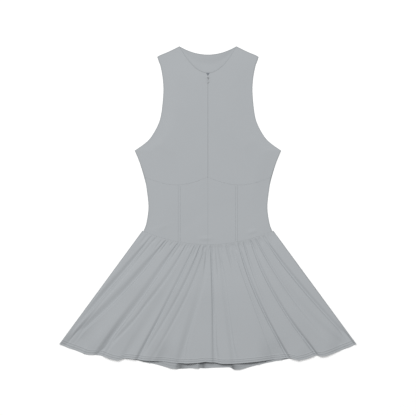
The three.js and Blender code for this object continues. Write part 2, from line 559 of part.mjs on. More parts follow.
pull.position.set(0, pinY, pinZ);
pull.rotation.x = THREE.MathUtils.degToRad(PULL_TILT_DEG);

export default dress;
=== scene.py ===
"""Finishes the flat-laid sleeveless zip dress: knit cloth, folds, seams, stitches, zip, floor, light and camera.

Metres, in the frame of the CAD model: +X is right in the picture, +Y towards the neck, +Z up out of the cloth.
"""

import json
import logging
from dataclasses import dataclass
from enum import Enum
from typing import Callable, Sequence

import bpy
import numpy as np
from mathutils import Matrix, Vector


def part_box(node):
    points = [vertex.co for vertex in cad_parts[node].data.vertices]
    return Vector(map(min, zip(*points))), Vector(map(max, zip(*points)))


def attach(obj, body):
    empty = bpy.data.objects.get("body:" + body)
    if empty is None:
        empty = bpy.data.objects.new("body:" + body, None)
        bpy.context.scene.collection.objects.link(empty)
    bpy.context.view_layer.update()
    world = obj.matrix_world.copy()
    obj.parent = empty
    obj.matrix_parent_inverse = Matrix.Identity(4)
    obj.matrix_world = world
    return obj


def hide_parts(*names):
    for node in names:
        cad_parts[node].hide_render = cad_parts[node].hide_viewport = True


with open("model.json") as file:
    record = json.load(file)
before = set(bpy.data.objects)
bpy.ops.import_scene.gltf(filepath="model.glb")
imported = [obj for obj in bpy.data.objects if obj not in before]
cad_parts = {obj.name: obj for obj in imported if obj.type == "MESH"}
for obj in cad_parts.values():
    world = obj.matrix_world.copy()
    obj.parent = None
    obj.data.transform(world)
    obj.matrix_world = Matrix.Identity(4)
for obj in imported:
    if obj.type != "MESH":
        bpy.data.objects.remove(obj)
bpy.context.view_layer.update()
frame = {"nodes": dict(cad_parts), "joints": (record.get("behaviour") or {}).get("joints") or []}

log = logging.getLogger("dress")
Array = np.ndarray
Edge = Callable[[Array], Array]
Grid = tuple[Array, Array]
FourSides = tuple[float, float, float, float]
Colour = tuple[float, float, float]
MM = 0.001

PHOTO_PIXELS = 416
PIXEL = 2.5 * MM
PHOTO_CENTRE = (0.25 * MM, -0.5 * MM)

# Thickness of the cloth, the gap between two layers and the height at which the front starts
CLOTH = 1.2 * MM
GAP = 0.3 * MM
BASE = CLOTH + GAP
# How far in an edge is rounded: a free edge, a sewn one and one at the waist seam
FREE_RIM = 0.7 * MM
SEAM_RIM = 0.1 * MM
WAIST_RIM = 0.01 * MM
# How far in from a free edge painted shade darkens the cloth
PAINTED_EDGE_SHADE_WIDTH = 3 * MM
# Where a grid has lines close to its ends, in rims, and how far from the ends the even lines begin
RIM_LINES = (0, 0.1, 0.35, 0.7, 1.1)
RIM_CLEAR = 1.6
CURVE_STEPS = 24

# Lengths in millimetres down the dress from the neck point of the shoulder, and half widths
LENGTH = 807
SEAM_HALF = 0.03
WAIST_HALF = 0.005
NECK_HALF = 71
FRONT_NECK_DROP = 66
BACK_NECK_DROP = 21
SHOULDER_LINE = ((71, 0), (98, 13.3), (118.5, 21.8), (126.5, 26.5))
ARMHOLE_LINE = ((126.5, 26.5), (122.4, 39), (118.6, 49), (113, 79), (111.2, 115), (116.6, 169), (125.8, 199),
                (143.6, 229), (161.3, 245.5), (182.8, 260.5))
SIDE_SEAM_LINE = ((182.8, 260.5), (171, 289), (154, 349), (148.4, 400), (153.5, 441), (161, 462))
WAIST_SIDE = SIDE_SEAM_LINE[-1][0]
UNDERBUST_SIDE = (158, 327)
UNDERBUST_DIP = 19.5
WAIST_AT_CENTRE = 495
WAIST_RISE = 33
PANEL_SEAM = 74
TOPSTITCH = 69
SKIRT_TOP_HALF = 163.6
HEM_HALF = 370.8
SKIRT_DROP = 290
HEM_BAND = 11.5
HEM_NEEDLES = (4.5, 9.5)
ZIP_END = 334
ZIP_MOUTH_HALF = 4.2
ZIP_MOUTH_DEPTH = 10
ZIP_SLIT_HALF = 0.12


def smooth(share: Array) -> Array:
    """Return the soft step 3s² - 2s³ of a share held between 0 and 1."""
    s = np.clip(share, 0, 1)
    return s * s * (3 - 2 * s)


def lerp(a: Array, b: Array, share: Array) -> Array:
    """Return the value a share of the way from a to b."""
    return a + (b - a) * share


def hump(away: Array) -> Array:
    """Return a cosine hump: 1 in its middle, and 0 from a distance of 1 on."""
    return np.where(np.abs(away) < 1, 0.5 + 0.5 * np.cos(np.pi * np.clip(away, -1, 1)), 0)


def y_at(down: Array) -> Array:
    """Return the height in the picture, in metres, of a length down the dress in millimetres."""
    return (LENGTH / 2 - down) * MM


def shares(count: int, rim: float, corners: Sequence[float] = ()) -> Array:
    """Space a grid's lines evenly, with a few more close to both ends for the rounded rim.

    Args:
        count: the number of even steps.
        rim: how far in from each end the rim reaches, as a share.
        corners: shares that have to have a line.

    Returns:
        The sorted shares, from 0 to 1.
    """
    close = rim * np.array(RIM_LINES)
    even = np.linspace(0, 1, count + 1)[1:-1]
    for corner in corners:
        even[np.argmin(np.abs(even - corner))] = corner
    even = even[(even > RIM_CLEAR * rim) & (even < 1 - RIM_CLEAR * rim)]
    return np.concatenate([close, even, 1 - close[::-1]])


def edge_shares(count: int, length: float, corners: Sequence[float] = ()) -> Array:
    """Space a grid's lines as shares does, along an edge of about this length in millimetres with free rims."""
    return shares(count, FREE_RIM / MM / length, corners)


def lengths(way: Array) -> Array:
    """Return the length along a polyline up to each of its points."""
    return np.concatenate([[0], np.cumsum(np.linalg.norm(np.diff(way, axis=0), axis=1))])


def points_at(way: Array, length: Array, at: Array) -> Array:
    """Return the points at some lengths along a polyline, given with the lengths up to its own points."""
    return np.stack([np.interp(at, length, axis) for axis in way.T], -1)


def walk(way: Array, pitch: float) -> Array:
    """Return points spaced evenly by a pitch along a polyline."""
    length = lengths(way)
    return points_at(way, length, np.arange(pitch, length[-1] - pitch / 2, pitch))


def line(points: Sequence[tuple[float, float]]) -> Edge:
    """Make a smooth edge through points given as (x, down) in millimetres.

    Between two points it is the Catmull-Rom cubic of them and their neighbours, read by its length.

    Returns:
        A function from shares of the length to points in millimetres.
    """
    p = np.array([points[0], *points, points[-1]], float)
    a, b, c, d = p[:-3], p[1:-2], p[2:-1], p[3:]
    s = np.linspace(0, 1, CURVE_STEPS, endpoint=False)[:, None, None]
    cubic = 0.5 * (2 * b + (c - a) * s + (2 * a - 5 * b + 4 * c - d) * s**2 + (3 * b - a - 3 * c + d) * s**3)
    way = np.vstack([cubic.transpose(1, 0, 2).reshape(-1, 2), p[-1:]])
    length = lengths(way)
    return lambda share: points_at(way, length, share * length[-1])


def curve(x_from: float, x_to: float, down_of: Callable[[Array], Array]) -> Edge:
    """Make the edge that runs evenly across on a curve.

    Args:
        x_from, x_to: its ends.
        down_of: how far down the curve is at an x.

    Returns:
        The edge.
    """
    def at(share: Array) -> Array:
        """Return the points at shares of the way across."""
        x = lerp(x_from, x_to, share)
        return np.stack([x, down_of(x)], -1)
    return at


def joined(first: Edge, second: Edge, corner: float) -> Edge:
    """Make one edge of two that meet.

    Args:
        first, second: the edges.
        corner: the share of the whole at which they meet.

    Returns:
        The edge.
    """
    def at(share: Array) -> Array:
        """Return the points at shares of the whole edge."""
        before = (share <= corner)[:, None]
        return np.where(before, first(np.clip(share / corner, 0, 1)),
                        second(np.clip((share - corner) / (1 - corner), 0, 1)))
    return at


def mirrored(edge: Edge) -> Edge:
    """Make the mirror image of an edge in the centre line."""
    return lambda share: edge(share) * np.array([-1, 1])


def patch(top: Edge, bottom: Edge, left: Edge, right: Edge, across: Array, down: Array) -> Grid:
    """Fill the space between four edges that share their corners with a grid.

    A point is (1-v) top(u) + v bottom(u) + (1-u) left(v) + u right(v), less the same blend of the corners.

    Args:
        top, bottom, left, right: the edges, in millimetres.
        across, down: the shares u and v of the grid's columns and rows.

    Returns:
        x in metres and the length down the dress in millimetres, each of shape (rows, columns).
    """
    u, v = across[None, :, None], down[:, None, None]
    t, b = top(across)[None], bottom(across)[None]
    l, r = left(down)[:, None], right(down)[:, None]
    corners = (1 - u) * (1 - v) * t[:, :1] + u * (1 - v) * t[:, -1:] + (1 - u) * v * b[:, :1] + u * v * b[:, -1:]
    grid = (1 - v) * t + v * b + (1 - u) * l + u * r - corners
    return grid[..., 0] * MM, grid[..., 1]


def underbust(x: Array) -> Array:
    """Return how far down the cup seam is: one sine arch under each cup."""
    share = np.minimum(1, np.abs(x) / UNDERBUST_SIDE[0])
    return UNDERBUST_SIDE[1] + UNDERBUST_DIP * np.sin(np.pi * share)


def waist(x: Array) -> Array:
    """Return how far down the waist seam is: a parabola, highest at the sides."""
    return WAIST_AT_CENTRE - WAIST_RISE * (x / WAIST_SIDE)**2


def neckline(drop: float) -> Callable[[Array], Array]:
    """Make the function of x that tells how far down a neckline is: a parabola between the neck points."""
    return lambda x: drop * (1 - (x / NECK_HALF)**2)


front_neck = neckline(FRONT_NECK_DROP)
back_neck = neckline(BACK_NECK_DROP)
SIDES = np.vstack([line(ARMHOLE_LINE)(np.linspace(0, 1, 60)), line(SIDE_SEAM_LINE)(np.linspace(0, 1, 50))[1:]])


def half_width(down: Array) -> Array:
    """Return half the width of the body, in millimetres, at a length down the dress."""
    return np.interp(down, SIDES[:, 1], SIDES[:, 0])


class Body(Enum):
    """The rigid bodies of the model."""

    DRESS = "dress"
    PULL = "pull"


class Graph:
    """A node tree under construction, with one short call for each node."""

    def __init__(self, tree: bpy.types.NodeTree) -> None:
        """Keep the tree that nodes are added to."""
        self.tree = tree

    def feed(self, node: bpy.types.Node, **inputs: object) -> None:
        """Give a node's inputs values or other nodes' sockets.

        Args:
            node: the node.
            inputs: values or sockets by the input's name with _ for a space, or by number as i0.
        """
        for name, value in inputs.items():
            numbered = name[0] == "i" and name[1:].isdigit()
            socket = node.inputs[int(name[1:]) if numbered else name.replace("_", " ")]
            if isinstance(value, bpy.types.NodeSocket):
                self.tree.links.new(value, socket)
            else:
                socket.default_value = value

    def node(self, kind: str, settings: dict | None = None, **inputs: object) -> bpy.types.Node:
        """Add a node.

        Args:
            kind: the node's type, such as ShaderNodeMath.
            settings: attributes of the node.
            inputs: what its inputs get, as for feed.

        Returns:
            The node.
        """
        made = self.tree.nodes.new(kind)
        for name, value in (settings or {}).items():
            setattr(made, name, value)
        self.feed(made, **inputs)
        return made

    def math(self, operation: str, a: object, b: object = 0.0, c: object = 0.0) -> bpy.types.NodeSocket:
        """Return the output of a Math node on a, b and c."""
        return self.node("ShaderNodeMath", {"operation": operation}, i0=a, i1=b, i2=c).outputs[0]

    def mix(self, share: object, a: object, b: object) -> bpy.types.NodeSocket:
        """Return the colour a share of the way from a to b."""
        return self.node("ShaderNodeMix", {"data_type": "RGBA"}, i0=share, i6=a, i7=b).outputs[2]


def new_group(name: str, inputs: Sequence[str],
              outputs: Sequence[str]) -> tuple[Graph, bpy.types.Node, bpy.types.Node]:
    """Start a shader node group.

    Args:
        name: the group's name.
        inputs, outputs: the sockets' names. One called Vector is a vector, and the others are numbers.

    Returns:
        Its graph, the node that holds its inputs and the node that takes its outputs.
    """
    tree = bpy.data.node_groups.new(name, "ShaderNodeTree")
    for direction, sockets in (("INPUT", inputs), ("OUTPUT", outputs)):
        for socket in sockets:
            kind = "NodeSocketVector" if socket == "Vector" else "NodeSocketFloat"
            tree.interface.new_socket(socket, in_out=direction, socket_type=kind)
    graph = Graph(tree)
    return graph, graph.node("NodeGroupInput"), graph.node("NodeGroupOutput")


def knit_loops_group() -> bpy.types.NodeTree:
    """Make the relief of plain knit.

    Its height is |sin(pi u / wale)| times 0.8 plus a wave of 0.2 along v, whose phase follows the same sine, so that
    each stitch is a V.
    """
    graph, given, out = new_group("Knit loops", ("Vector", "Wale", "Course"), ("Height", "Furrow"))
    axes = graph.node("ShaderNodeSeparateXYZ", i0=given.outputs["Vector"]).outputs
    turn = graph.math("MULTIPLY", graph.math("DIVIDE", axes[0], given.outputs["Wale"]), np.pi)
    rib = graph.math("ABSOLUTE", graph.math("SINE", turn))
    phase = graph.math("ADD", graph.math("DIVIDE", axes[1], given.outputs["Course"]), rib)
    stitch = graph.math("SINE", graph.math("MULTIPLY", phase, 2 * np.pi))
    height = graph.math("MULTIPLY", rib, graph.math("MULTIPLY_ADD", stitch, 0.2, 0.8))
    graph.feed(out, Height=height, Furrow=graph.math("SUBTRACT", 1.0, height))
    return graph.tree


def mottle_group() -> bpy.types.NodeTree:
    """Make a gentle unevenness of colour: two noises, one as coarse as a hand and one as fine as a few stitches."""
    graph, given, out = new_group("Dye mottle", ("Vector", "Amount"), ("Shade",))
    coarse, fine = (
        graph.node("ShaderNodeTexNoise", Vector=given.outputs["Vector"], Scale=scale, Detail=2.0).outputs[0]
        for scale in (11.0, 700.0))
    both = graph.math("SUBTRACT", graph.math("ADD", coarse, fine), 1.0)
    graph.feed(out, Shade=graph.math("MULTIPLY", both, given.outputs["Amount"]))
    return graph.tree


@dataclass(frozen=True)
class Groups:
    """The node groups that the finishes share."""

    knit_loops: bpy.types.NodeTree
    mottle: bpy.types.NodeTree


def dye_mottle(graph: Graph, groups: Groups, amount: float) -> bpy.types.NodeSocket:
    """Return the unevenness of the colour, around 0, at the piece's own place."""
    place = graph.node("ShaderNodeTexCoord").outputs["Object"]
    return graph.node("ShaderNodeGroup", {"node_tree": groups.mottle}, Vector=place, Amount=amount).outputs["Shade"]


def shaded(colour: Colour, factor: float) -> tuple[float, float, float, float]:
    """Return a colour made darker or lighter by a factor, with full alpha."""
    return (*(c * factor for c in colour), 1.0)


def new_material(name: str) -> tuple[bpy.types.Material, Graph, bpy.types.Node]:
    """Start a material.

    Args:
        name: its name.

    Returns:
        The material, its graph and its surface shader.
    """
    material = bpy.data.materials.new(name)
    material.use_nodes = True
    graph = Graph(material.node_tree)
    return material, graph, material.node_tree.nodes["Principled BSDF"]


@dataclass(frozen=True)
class KnitFinish:
    """Matte, smooth knit cloth, patterned on the piece's own cloth map.

    Its colour is lightened on the stitches and darkened in the furrows between them, painted light and painted shade.
    The painted shade factor darkens it further where the attribute turned carries painted shade.
    """

    name: str
    colour: Colour
    wale: float = 0.95 * MM
    course: float = 0.75 * MM
    relief: float = 0.12 * MM
    relief_strength: float = 0.5
    mottling: float = 0.04
    painted_ridge_light: float = 1.03
    painted_furrow_shade: float = 0.9
    painted_shade: float = 0.26
    roughness: float = 0.86
    sheen: float = 0.12
    sheen_roughness: float = 0.5
    gloss: float = 0.25

    def make(self, groups: Groups) -> bpy.types.Material:
        """Build it: stitches raise the surface, with painted light on them and painted shade in furrows; the dye is
        uneven.
        """
        material, graph, surface = new_material(self.name)
        cloth_map = graph.node("ShaderNodeUVMap", {"uv_map": "cloth"}).outputs[0]
        # The attribute turned holds painted shade: along edges, needle rows, below the front's hem and in the back's
        # hollows
        turned = graph.node("ShaderNodeAttribute", {"attribute_name": "turned"}).outputs["Fac"]
        mottle = dye_mottle(graph, groups, self.mottling)
        loops = graph.node("ShaderNodeGroup", {"node_tree": groups.knit_loops},
                           Vector=cloth_map, Wale=self.wale, Course=self.course).outputs
        # Painted light on the stitches and painted shade in the furrows between them
        stitch_shaded_colour = graph.mix(loops["Furrow"], shaded(self.colour, self.painted_ridge_light),
                             shaded(self.colour, self.painted_furrow_shade))
        value = graph.math("SUBTRACT", graph.math("ADD", 1.0, mottle),
                           graph.math("MULTIPLY", turned, self.painted_shade))
        colour = graph.node("ShaderNodeHueSaturation", Color=stitch_shaded_colour, Value=value).outputs[0]
        bump = graph.node("ShaderNodeBump", Height=loops["Height"], Strength=self.relief_strength,
                          Distance=self.relief).outputs[0]
        graph.feed(surface, Base_Color=colour, Roughness=graph.math("ADD", self.roughness, mottle), Normal=bump,
                   Sheen_Weight=self.sheen, Sheen_Roughness=self.sheen_roughness, Specular_IOR_Level=self.gloss)
        return material


@dataclass(frozen=True)
class WovenFinish:
    """Woven tape: fine ribs along its length, crossed by the weft, on the tape's own map."""

    name: str
    colour: Colour
    rib: float = 0.7 * MM
    relief: float = 0.1 * MM
    relief_strength: float = 0.6
    mottling: float = 0.1
    painted_ridge_light: float = 1.05
    painted_furrow_shade: float = 0.8
    roughness: float = 0.9

    def make(self, groups: Groups) -> bpy.types.Material:
        """Build it: the weave is the product of two crossed sine ribs; painted shade in furrows, painted light on
        ribs.
        """
        material, graph, surface = new_material(self.name)
        cloth_map = graph.node("ShaderNodeUVMap", {"uv_map": "cloth"}).outputs[0]
        axes = graph.node("ShaderNodeSeparateXYZ", i0=cloth_map).outputs
        ribs = [graph.math("SINE", graph.math("MULTIPLY", axis, 2 * np.pi / self.rib)) for axis in axes[:2]]
        weave = graph.math("MULTIPLY", ribs[0], ribs[1])
        share = graph.math("ADD", graph.math("ABSOLUTE", weave), dye_mottle(graph, groups, self.mottling))
        # Painted shade in the weave's furrows and painted light on its ribs
        colour = graph.mix(share, shaded(self.colour, self.painted_furrow_shade), shaded(self.colour, self.painted_ridge_light))
        bump = graph.node("ShaderNodeBump", Height=weave, Strength=self.relief_strength, Distance=self.relief)
        graph.feed(surface, Base_Color=colour, Normal=bump.outputs[0], Roughness=self.roughness)
        return material


@dataclass(frozen=True)
class HardFinish:
    """Thread, nylon or lacquered metal: one colour with fine scuffs in its gloss."""

    name: str
    colour: Colour
    roughness: float
    scuff_scale: float = 900.0
    scuff: float = 0.15
    dark_shade: float = 0.85
    light_shade: float = 1.15

    def make(self, groups: Groups) -> bpy.types.Material:
        """Build the material: noise lightens the colour and roughens the gloss where it is scuffed."""
        material, graph, surface = new_material(self.name)
        place = graph.node("ShaderNodeTexCoord").outputs["Object"]
        noise = graph.node("ShaderNodeTexNoise", Vector=place, Scale=self.scuff_scale, Detail=4.0).outputs[0]
        share = graph.math("ADD", noise, dye_mottle(graph, groups, self.scuff))
        colour = graph.mix(share, shaded(self.colour, self.dark_shade), shaded(self.colour, self.light_shade))
        rough = graph.math("MULTIPLY_ADD", noise, self.scuff, self.roughness - self.scuff / 2)
        graph.feed(surface, Base_Color=colour, Roughness=rough)
        return material


@dataclass
class Wardrobe:
    """All materials of the dress, made once."""

    knit: bpy.types.Material
    tape: bpy.types.Material
    thread: bpy.types.Material
    coil: bpy.types.Material
    metal: bpy.types.Material

    @classmethod
    def make(cls) -> "Wardrobe":
        """Build every material."""
        groups = Groups(knit_loops_group(), mottle_group())
        return cls(
            knit=KnitFinish("Grey double knit", (0.405, 0.425, 0.442)).make(groups),
            # The tape's dark grey is partly painted shade, standing in for the shade inside the zip's mouth
            tape=WovenFinish("Zip tape", (0.2, 0.217, 0.24)).make(groups),
            # The thread's dark grey is partly painted shade, so that the needle rows read as lines of shade
            thread=HardFinish("Sewing thread", (0.2, 0.213, 0.227), 0.6).make(groups),
            coil=HardFinish("Nylon coil", (0.27, 0.285, 0.3), 0.4).make(groups),
            metal=HardFinish("Lacquered zip metal", (0.36, 0.378, 0.394), 0.6).make(groups),
        )


def make_object(name: str, vertices: Array, faces: Sequence, material: bpy.types.Material,
                uv: Array | None = None) -> bpy.types.Object:
    """Put vertices and faces into a smooth-shaded object at the origin.

    Args:
        name: the piece's name.
        vertices: places of shape (n, 3).
        faces: vertex numbers of each face, facing out.
        material: its finish.
        uv: a place on the cloth for each vertex, of shape (n, 2), kept as the map called cloth.

    Returns:
        The object, linked to the scene.
    """
    mesh = bpy.data.meshes.new(name)
    mesh.from_pydata(vertices, [], faces)
    if uv is not None:
        corners = np.empty(len(mesh.loops), np.int32)
        mesh.loops.foreach_get("vertex_index", corners)
        layer = mesh.uv_layers.new(name="cloth")
        layer.uv.foreach_set("vector", uv[corners].astype(np.float32).ravel())
    mesh.polygons.foreach_set("use_smooth", np.ones(len(mesh.polygons), bool))
    mesh.materials.append(material)
    mesh.update()
    made = bpy.data.objects.new(name, mesh)
    bpy.context.scene.collection.objects.link(made)
    return made


@dataclass
class ClothGrid:
    """One thickness of cloth over a grid. Rows run down the dress and columns to the right.

    Args:
        x, y: places in metres.
        low: height of the underside.
        thick: height of the wall.
        u, v: the place on the flat cloth, in metres.
        pressed: how much painted shade the needle rows lay on both faces, from 0 to 1.
        inside: how much painted shade its upper face alone gets: the shade below the front's hem and in deep hollows.
        edge_share: how much of its thickness is left on an edge.
    """

    x: Array
    y: Array
    low: Array
    thick: Array
    u: Array
    v: Array
    pressed: Array | float = 0.0
    inside: Array | float = 0.0
    edge_share: float = 0.2

    def ways_in(self) -> list[Array]:
        """Return how far in each point is from the top, bottom, left and right edge, along the grid's lines."""
        steps = [np.hypot(np.diff(self.x, axis=k), np.diff(self.y, axis=k)) for k in (0, 1)]
        down = np.pad(np.cumsum(steps[0], 0), ((1, 0), (0, 0)))
        across = np.pad(np.cumsum(steps[1], 1), ((0, 0), (1, 0)))
        return [down, down[-1:] - down, across, across[:, -1:] - across]

    def build(self, name: str, material: bpy.types.Material, rims: FourSides,
              turns: FourSides = (0, 0, 0, 0)) -> bpy.types.Object:
        """Close the grid into a shell with rounded edges, and keep its painted shade as the attribute turned.

        The wall's half height is multiplied by e + (1 - e) sqrt(1 - (1 - d)²): a quarter circle in the distance d
        from the edge as a share of the rim, with the share e left on the edge.

        Args:
            name: the piece's name.
            material: its finish.
            rims: how far in the rounding reaches from the top, bottom, left and right edge.
            turns: how far in from the same edges painted shade darkens the cloth, or 0.

        Returns:
            The object.
        """
        ways = self.ways_in()
        inward = np.clip(np.minimum.reduce([way / rim for way, rim in zip(ways, rims)]), 0, 1)
        # Painted shade along edges, fading inwards over each edge's width
        turned = np.maximum.reduce([(turn > 0) * (1 - smooth(way / max(turn, MM))) for way, turn in zip(ways, turns)])
        half = self.thick / 2 * lerp(self.edge_share, 1, np.sqrt(1 - (1 - inward)**2))
        middle = self.low + self.thick / 2
        top = np.stack([self.x, self.y, middle + half], -1).reshape(-1, 3)
        under = np.stack([self.x, self.y, middle - half], -1).reshape(-1, 3)
        number = np.arange(self.x.size).reshape(self.x.shape)
        shift = self.x.size

        def quads(a: Array, b: Array, c: Array, d: Array) -> Array:
            """Return faces from four arrays of vertex numbers."""
            return np.stack([a, b, c, d], -1).reshape(-1, 4)

        above = quads(number[:-1, :-1], number[1:, :-1], number[1:, 1:], number[:-1, 1:])
        below = above[:, [0, 3, 2, 1]] + shift
        ring = np.concatenate([number[:, 0], number[-1, 1:], number[-2::-1, -1], number[0, -2:0:-1]])
        after = np.roll(ring, -1)
        side = quads(ring, ring + shift, after + shift, after)
        uv = np.tile(np.stack([self.u, self.v], -1).reshape(-1, 2), (2, 1))
        made = make_object(name, np.vstack([top, under]), np.vstack([above, below, side]), material, uv)
        # Painted shade: edges and needle rows on both faces, inside on the upper face alone, kept as the attribute
        # turned
        shade = np.maximum(turned, self.pressed).ravel()
        shades = np.concatenate([np.maximum(shade, np.ravel(self.inside)), shade])
        attribute = made.data.attributes.new("turned", "FLOAT", "POINT")
        attribute.data.foreach_set("value", shades.astype(np.float32))
        return made


def put(piece: bpy.types.Object, body: Body, nodes: Sequence[str] = ()) -> bpy.types.Object:
    """Ride a piece on a body and the CAD nodes it stands for, and report it.

    Args:
        piece: the piece.
        body: what it moves with.
        nodes: the CAD nodes it stands for.

    Returns:
        The piece.
    """
    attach(piece, body.value)
    if nodes:
        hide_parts(*nodes)
    log.info("%s: %d faces", piece.name, len(piece.data.polygons))
    return piece


@dataclass(frozen=True)
class Dent:
    """A soft rise or hollow of the front: centre and half sizes in millimetres, turn in degrees, height."""

    x: float
    down: float
    half_long: float
    half_wide: float
    turn: float
    height: float

    def at(self, x: Array, down: Array) -> Array:
        """Return its height: the product of two cosine humps along its own axes.

        Args:
            x: places across, in metres.
            down: lengths down the dress, in millimetres.

        Returns:
            The height in metres.
        """
        angle = np.radians(self.turn)
        dx, dy = x / MM - self.x, down - self.down
        along = (dx * np.cos(angle) + dy * np.sin(angle)) / self.half_long
        wide = (dy * np.cos(angle) - dx * np.sin(angle)) / self.half_wide
        return self.height * MM * hump(along) * hump(wide)


@dataclass(frozen=True)
class FrontRelief:
    """How high the front of the body lies: on the back at the sides, a little lofted between them.

    The loft changes from the bust's to the waist seam's over waist_way from waist_from on, and takes the other ways
    to rise from the shoulders and sides and to fall below the zip. A ramp over the zip has its height, where across
    it starts to fall and how wide the fall is.
    """

    bust_loft: float = 2.0
    seam_loft: float = 2.6
    waist_from: float = 400.0
    waist_way: float = 80.0
    shoulder_way: float = 90.0
    side_way: float = 45.0
    zip_ramps: tuple[tuple[float, float, float], ...] = ((0.55, 11, 6), (1.15, 1.5, 5))
    zip_end_way: float = 20.0
    dents: tuple[Dent, ...] = (
        Dent(-118, 246, 60, 22, 28, 0.5),
        Dent(122, 232, 70, 20, -34, 0.5),
        Dent(78, 96, 70, 34, 50, -0.5),
        Dent(-70, 150, 90, 46, -10, 0.45),
        Dent(76, 262, 34, 20, 60, -0.4),
        Dent(48, 400, 90, 20, 62, -0.35),
        Dent(-44, 440, 70, 18, -40, -0.3),
        Dent(-6, 480, 26, 8, 0, 1.2),
        Dent(-116, 452, 40, 9, -18, 0.4),
        Dent(110, 463, 20, 8, -15, 0.9),
    )

    def underside(self, x: Array, down: Array) -> Array:
        """Return the height of the front's underside.

        Args:
            x: places across, in metres.
            down: lengths down the dress, in millimetres.

        Returns:
            The larger of the loft between the side seams and the rise over the zip, plus the dents.
        """
        away = np.abs(x) / MM
        inward = smooth((half_width(down) - away) / self.side_way)
        loft = lerp(self.bust_loft, self.seam_loft, smooth((down - self.waist_from) / self.waist_way))
        loft = loft * smooth(down / self.shoulder_way)
        over_zip = 1 - smooth((down - ZIP_END) / self.zip_end_way)
        zip_rise = sum(height * (1 - smooth((away - start) / width)) for height, start, width in self.zip_ramps)
        lofted = np.maximum(loft * inward, over_zip * zip_rise) * MM
        dents = sum(dent.at(x, down) for dent in self.dents)
        return BASE + np.maximum(lofted + dents * inward, 0)


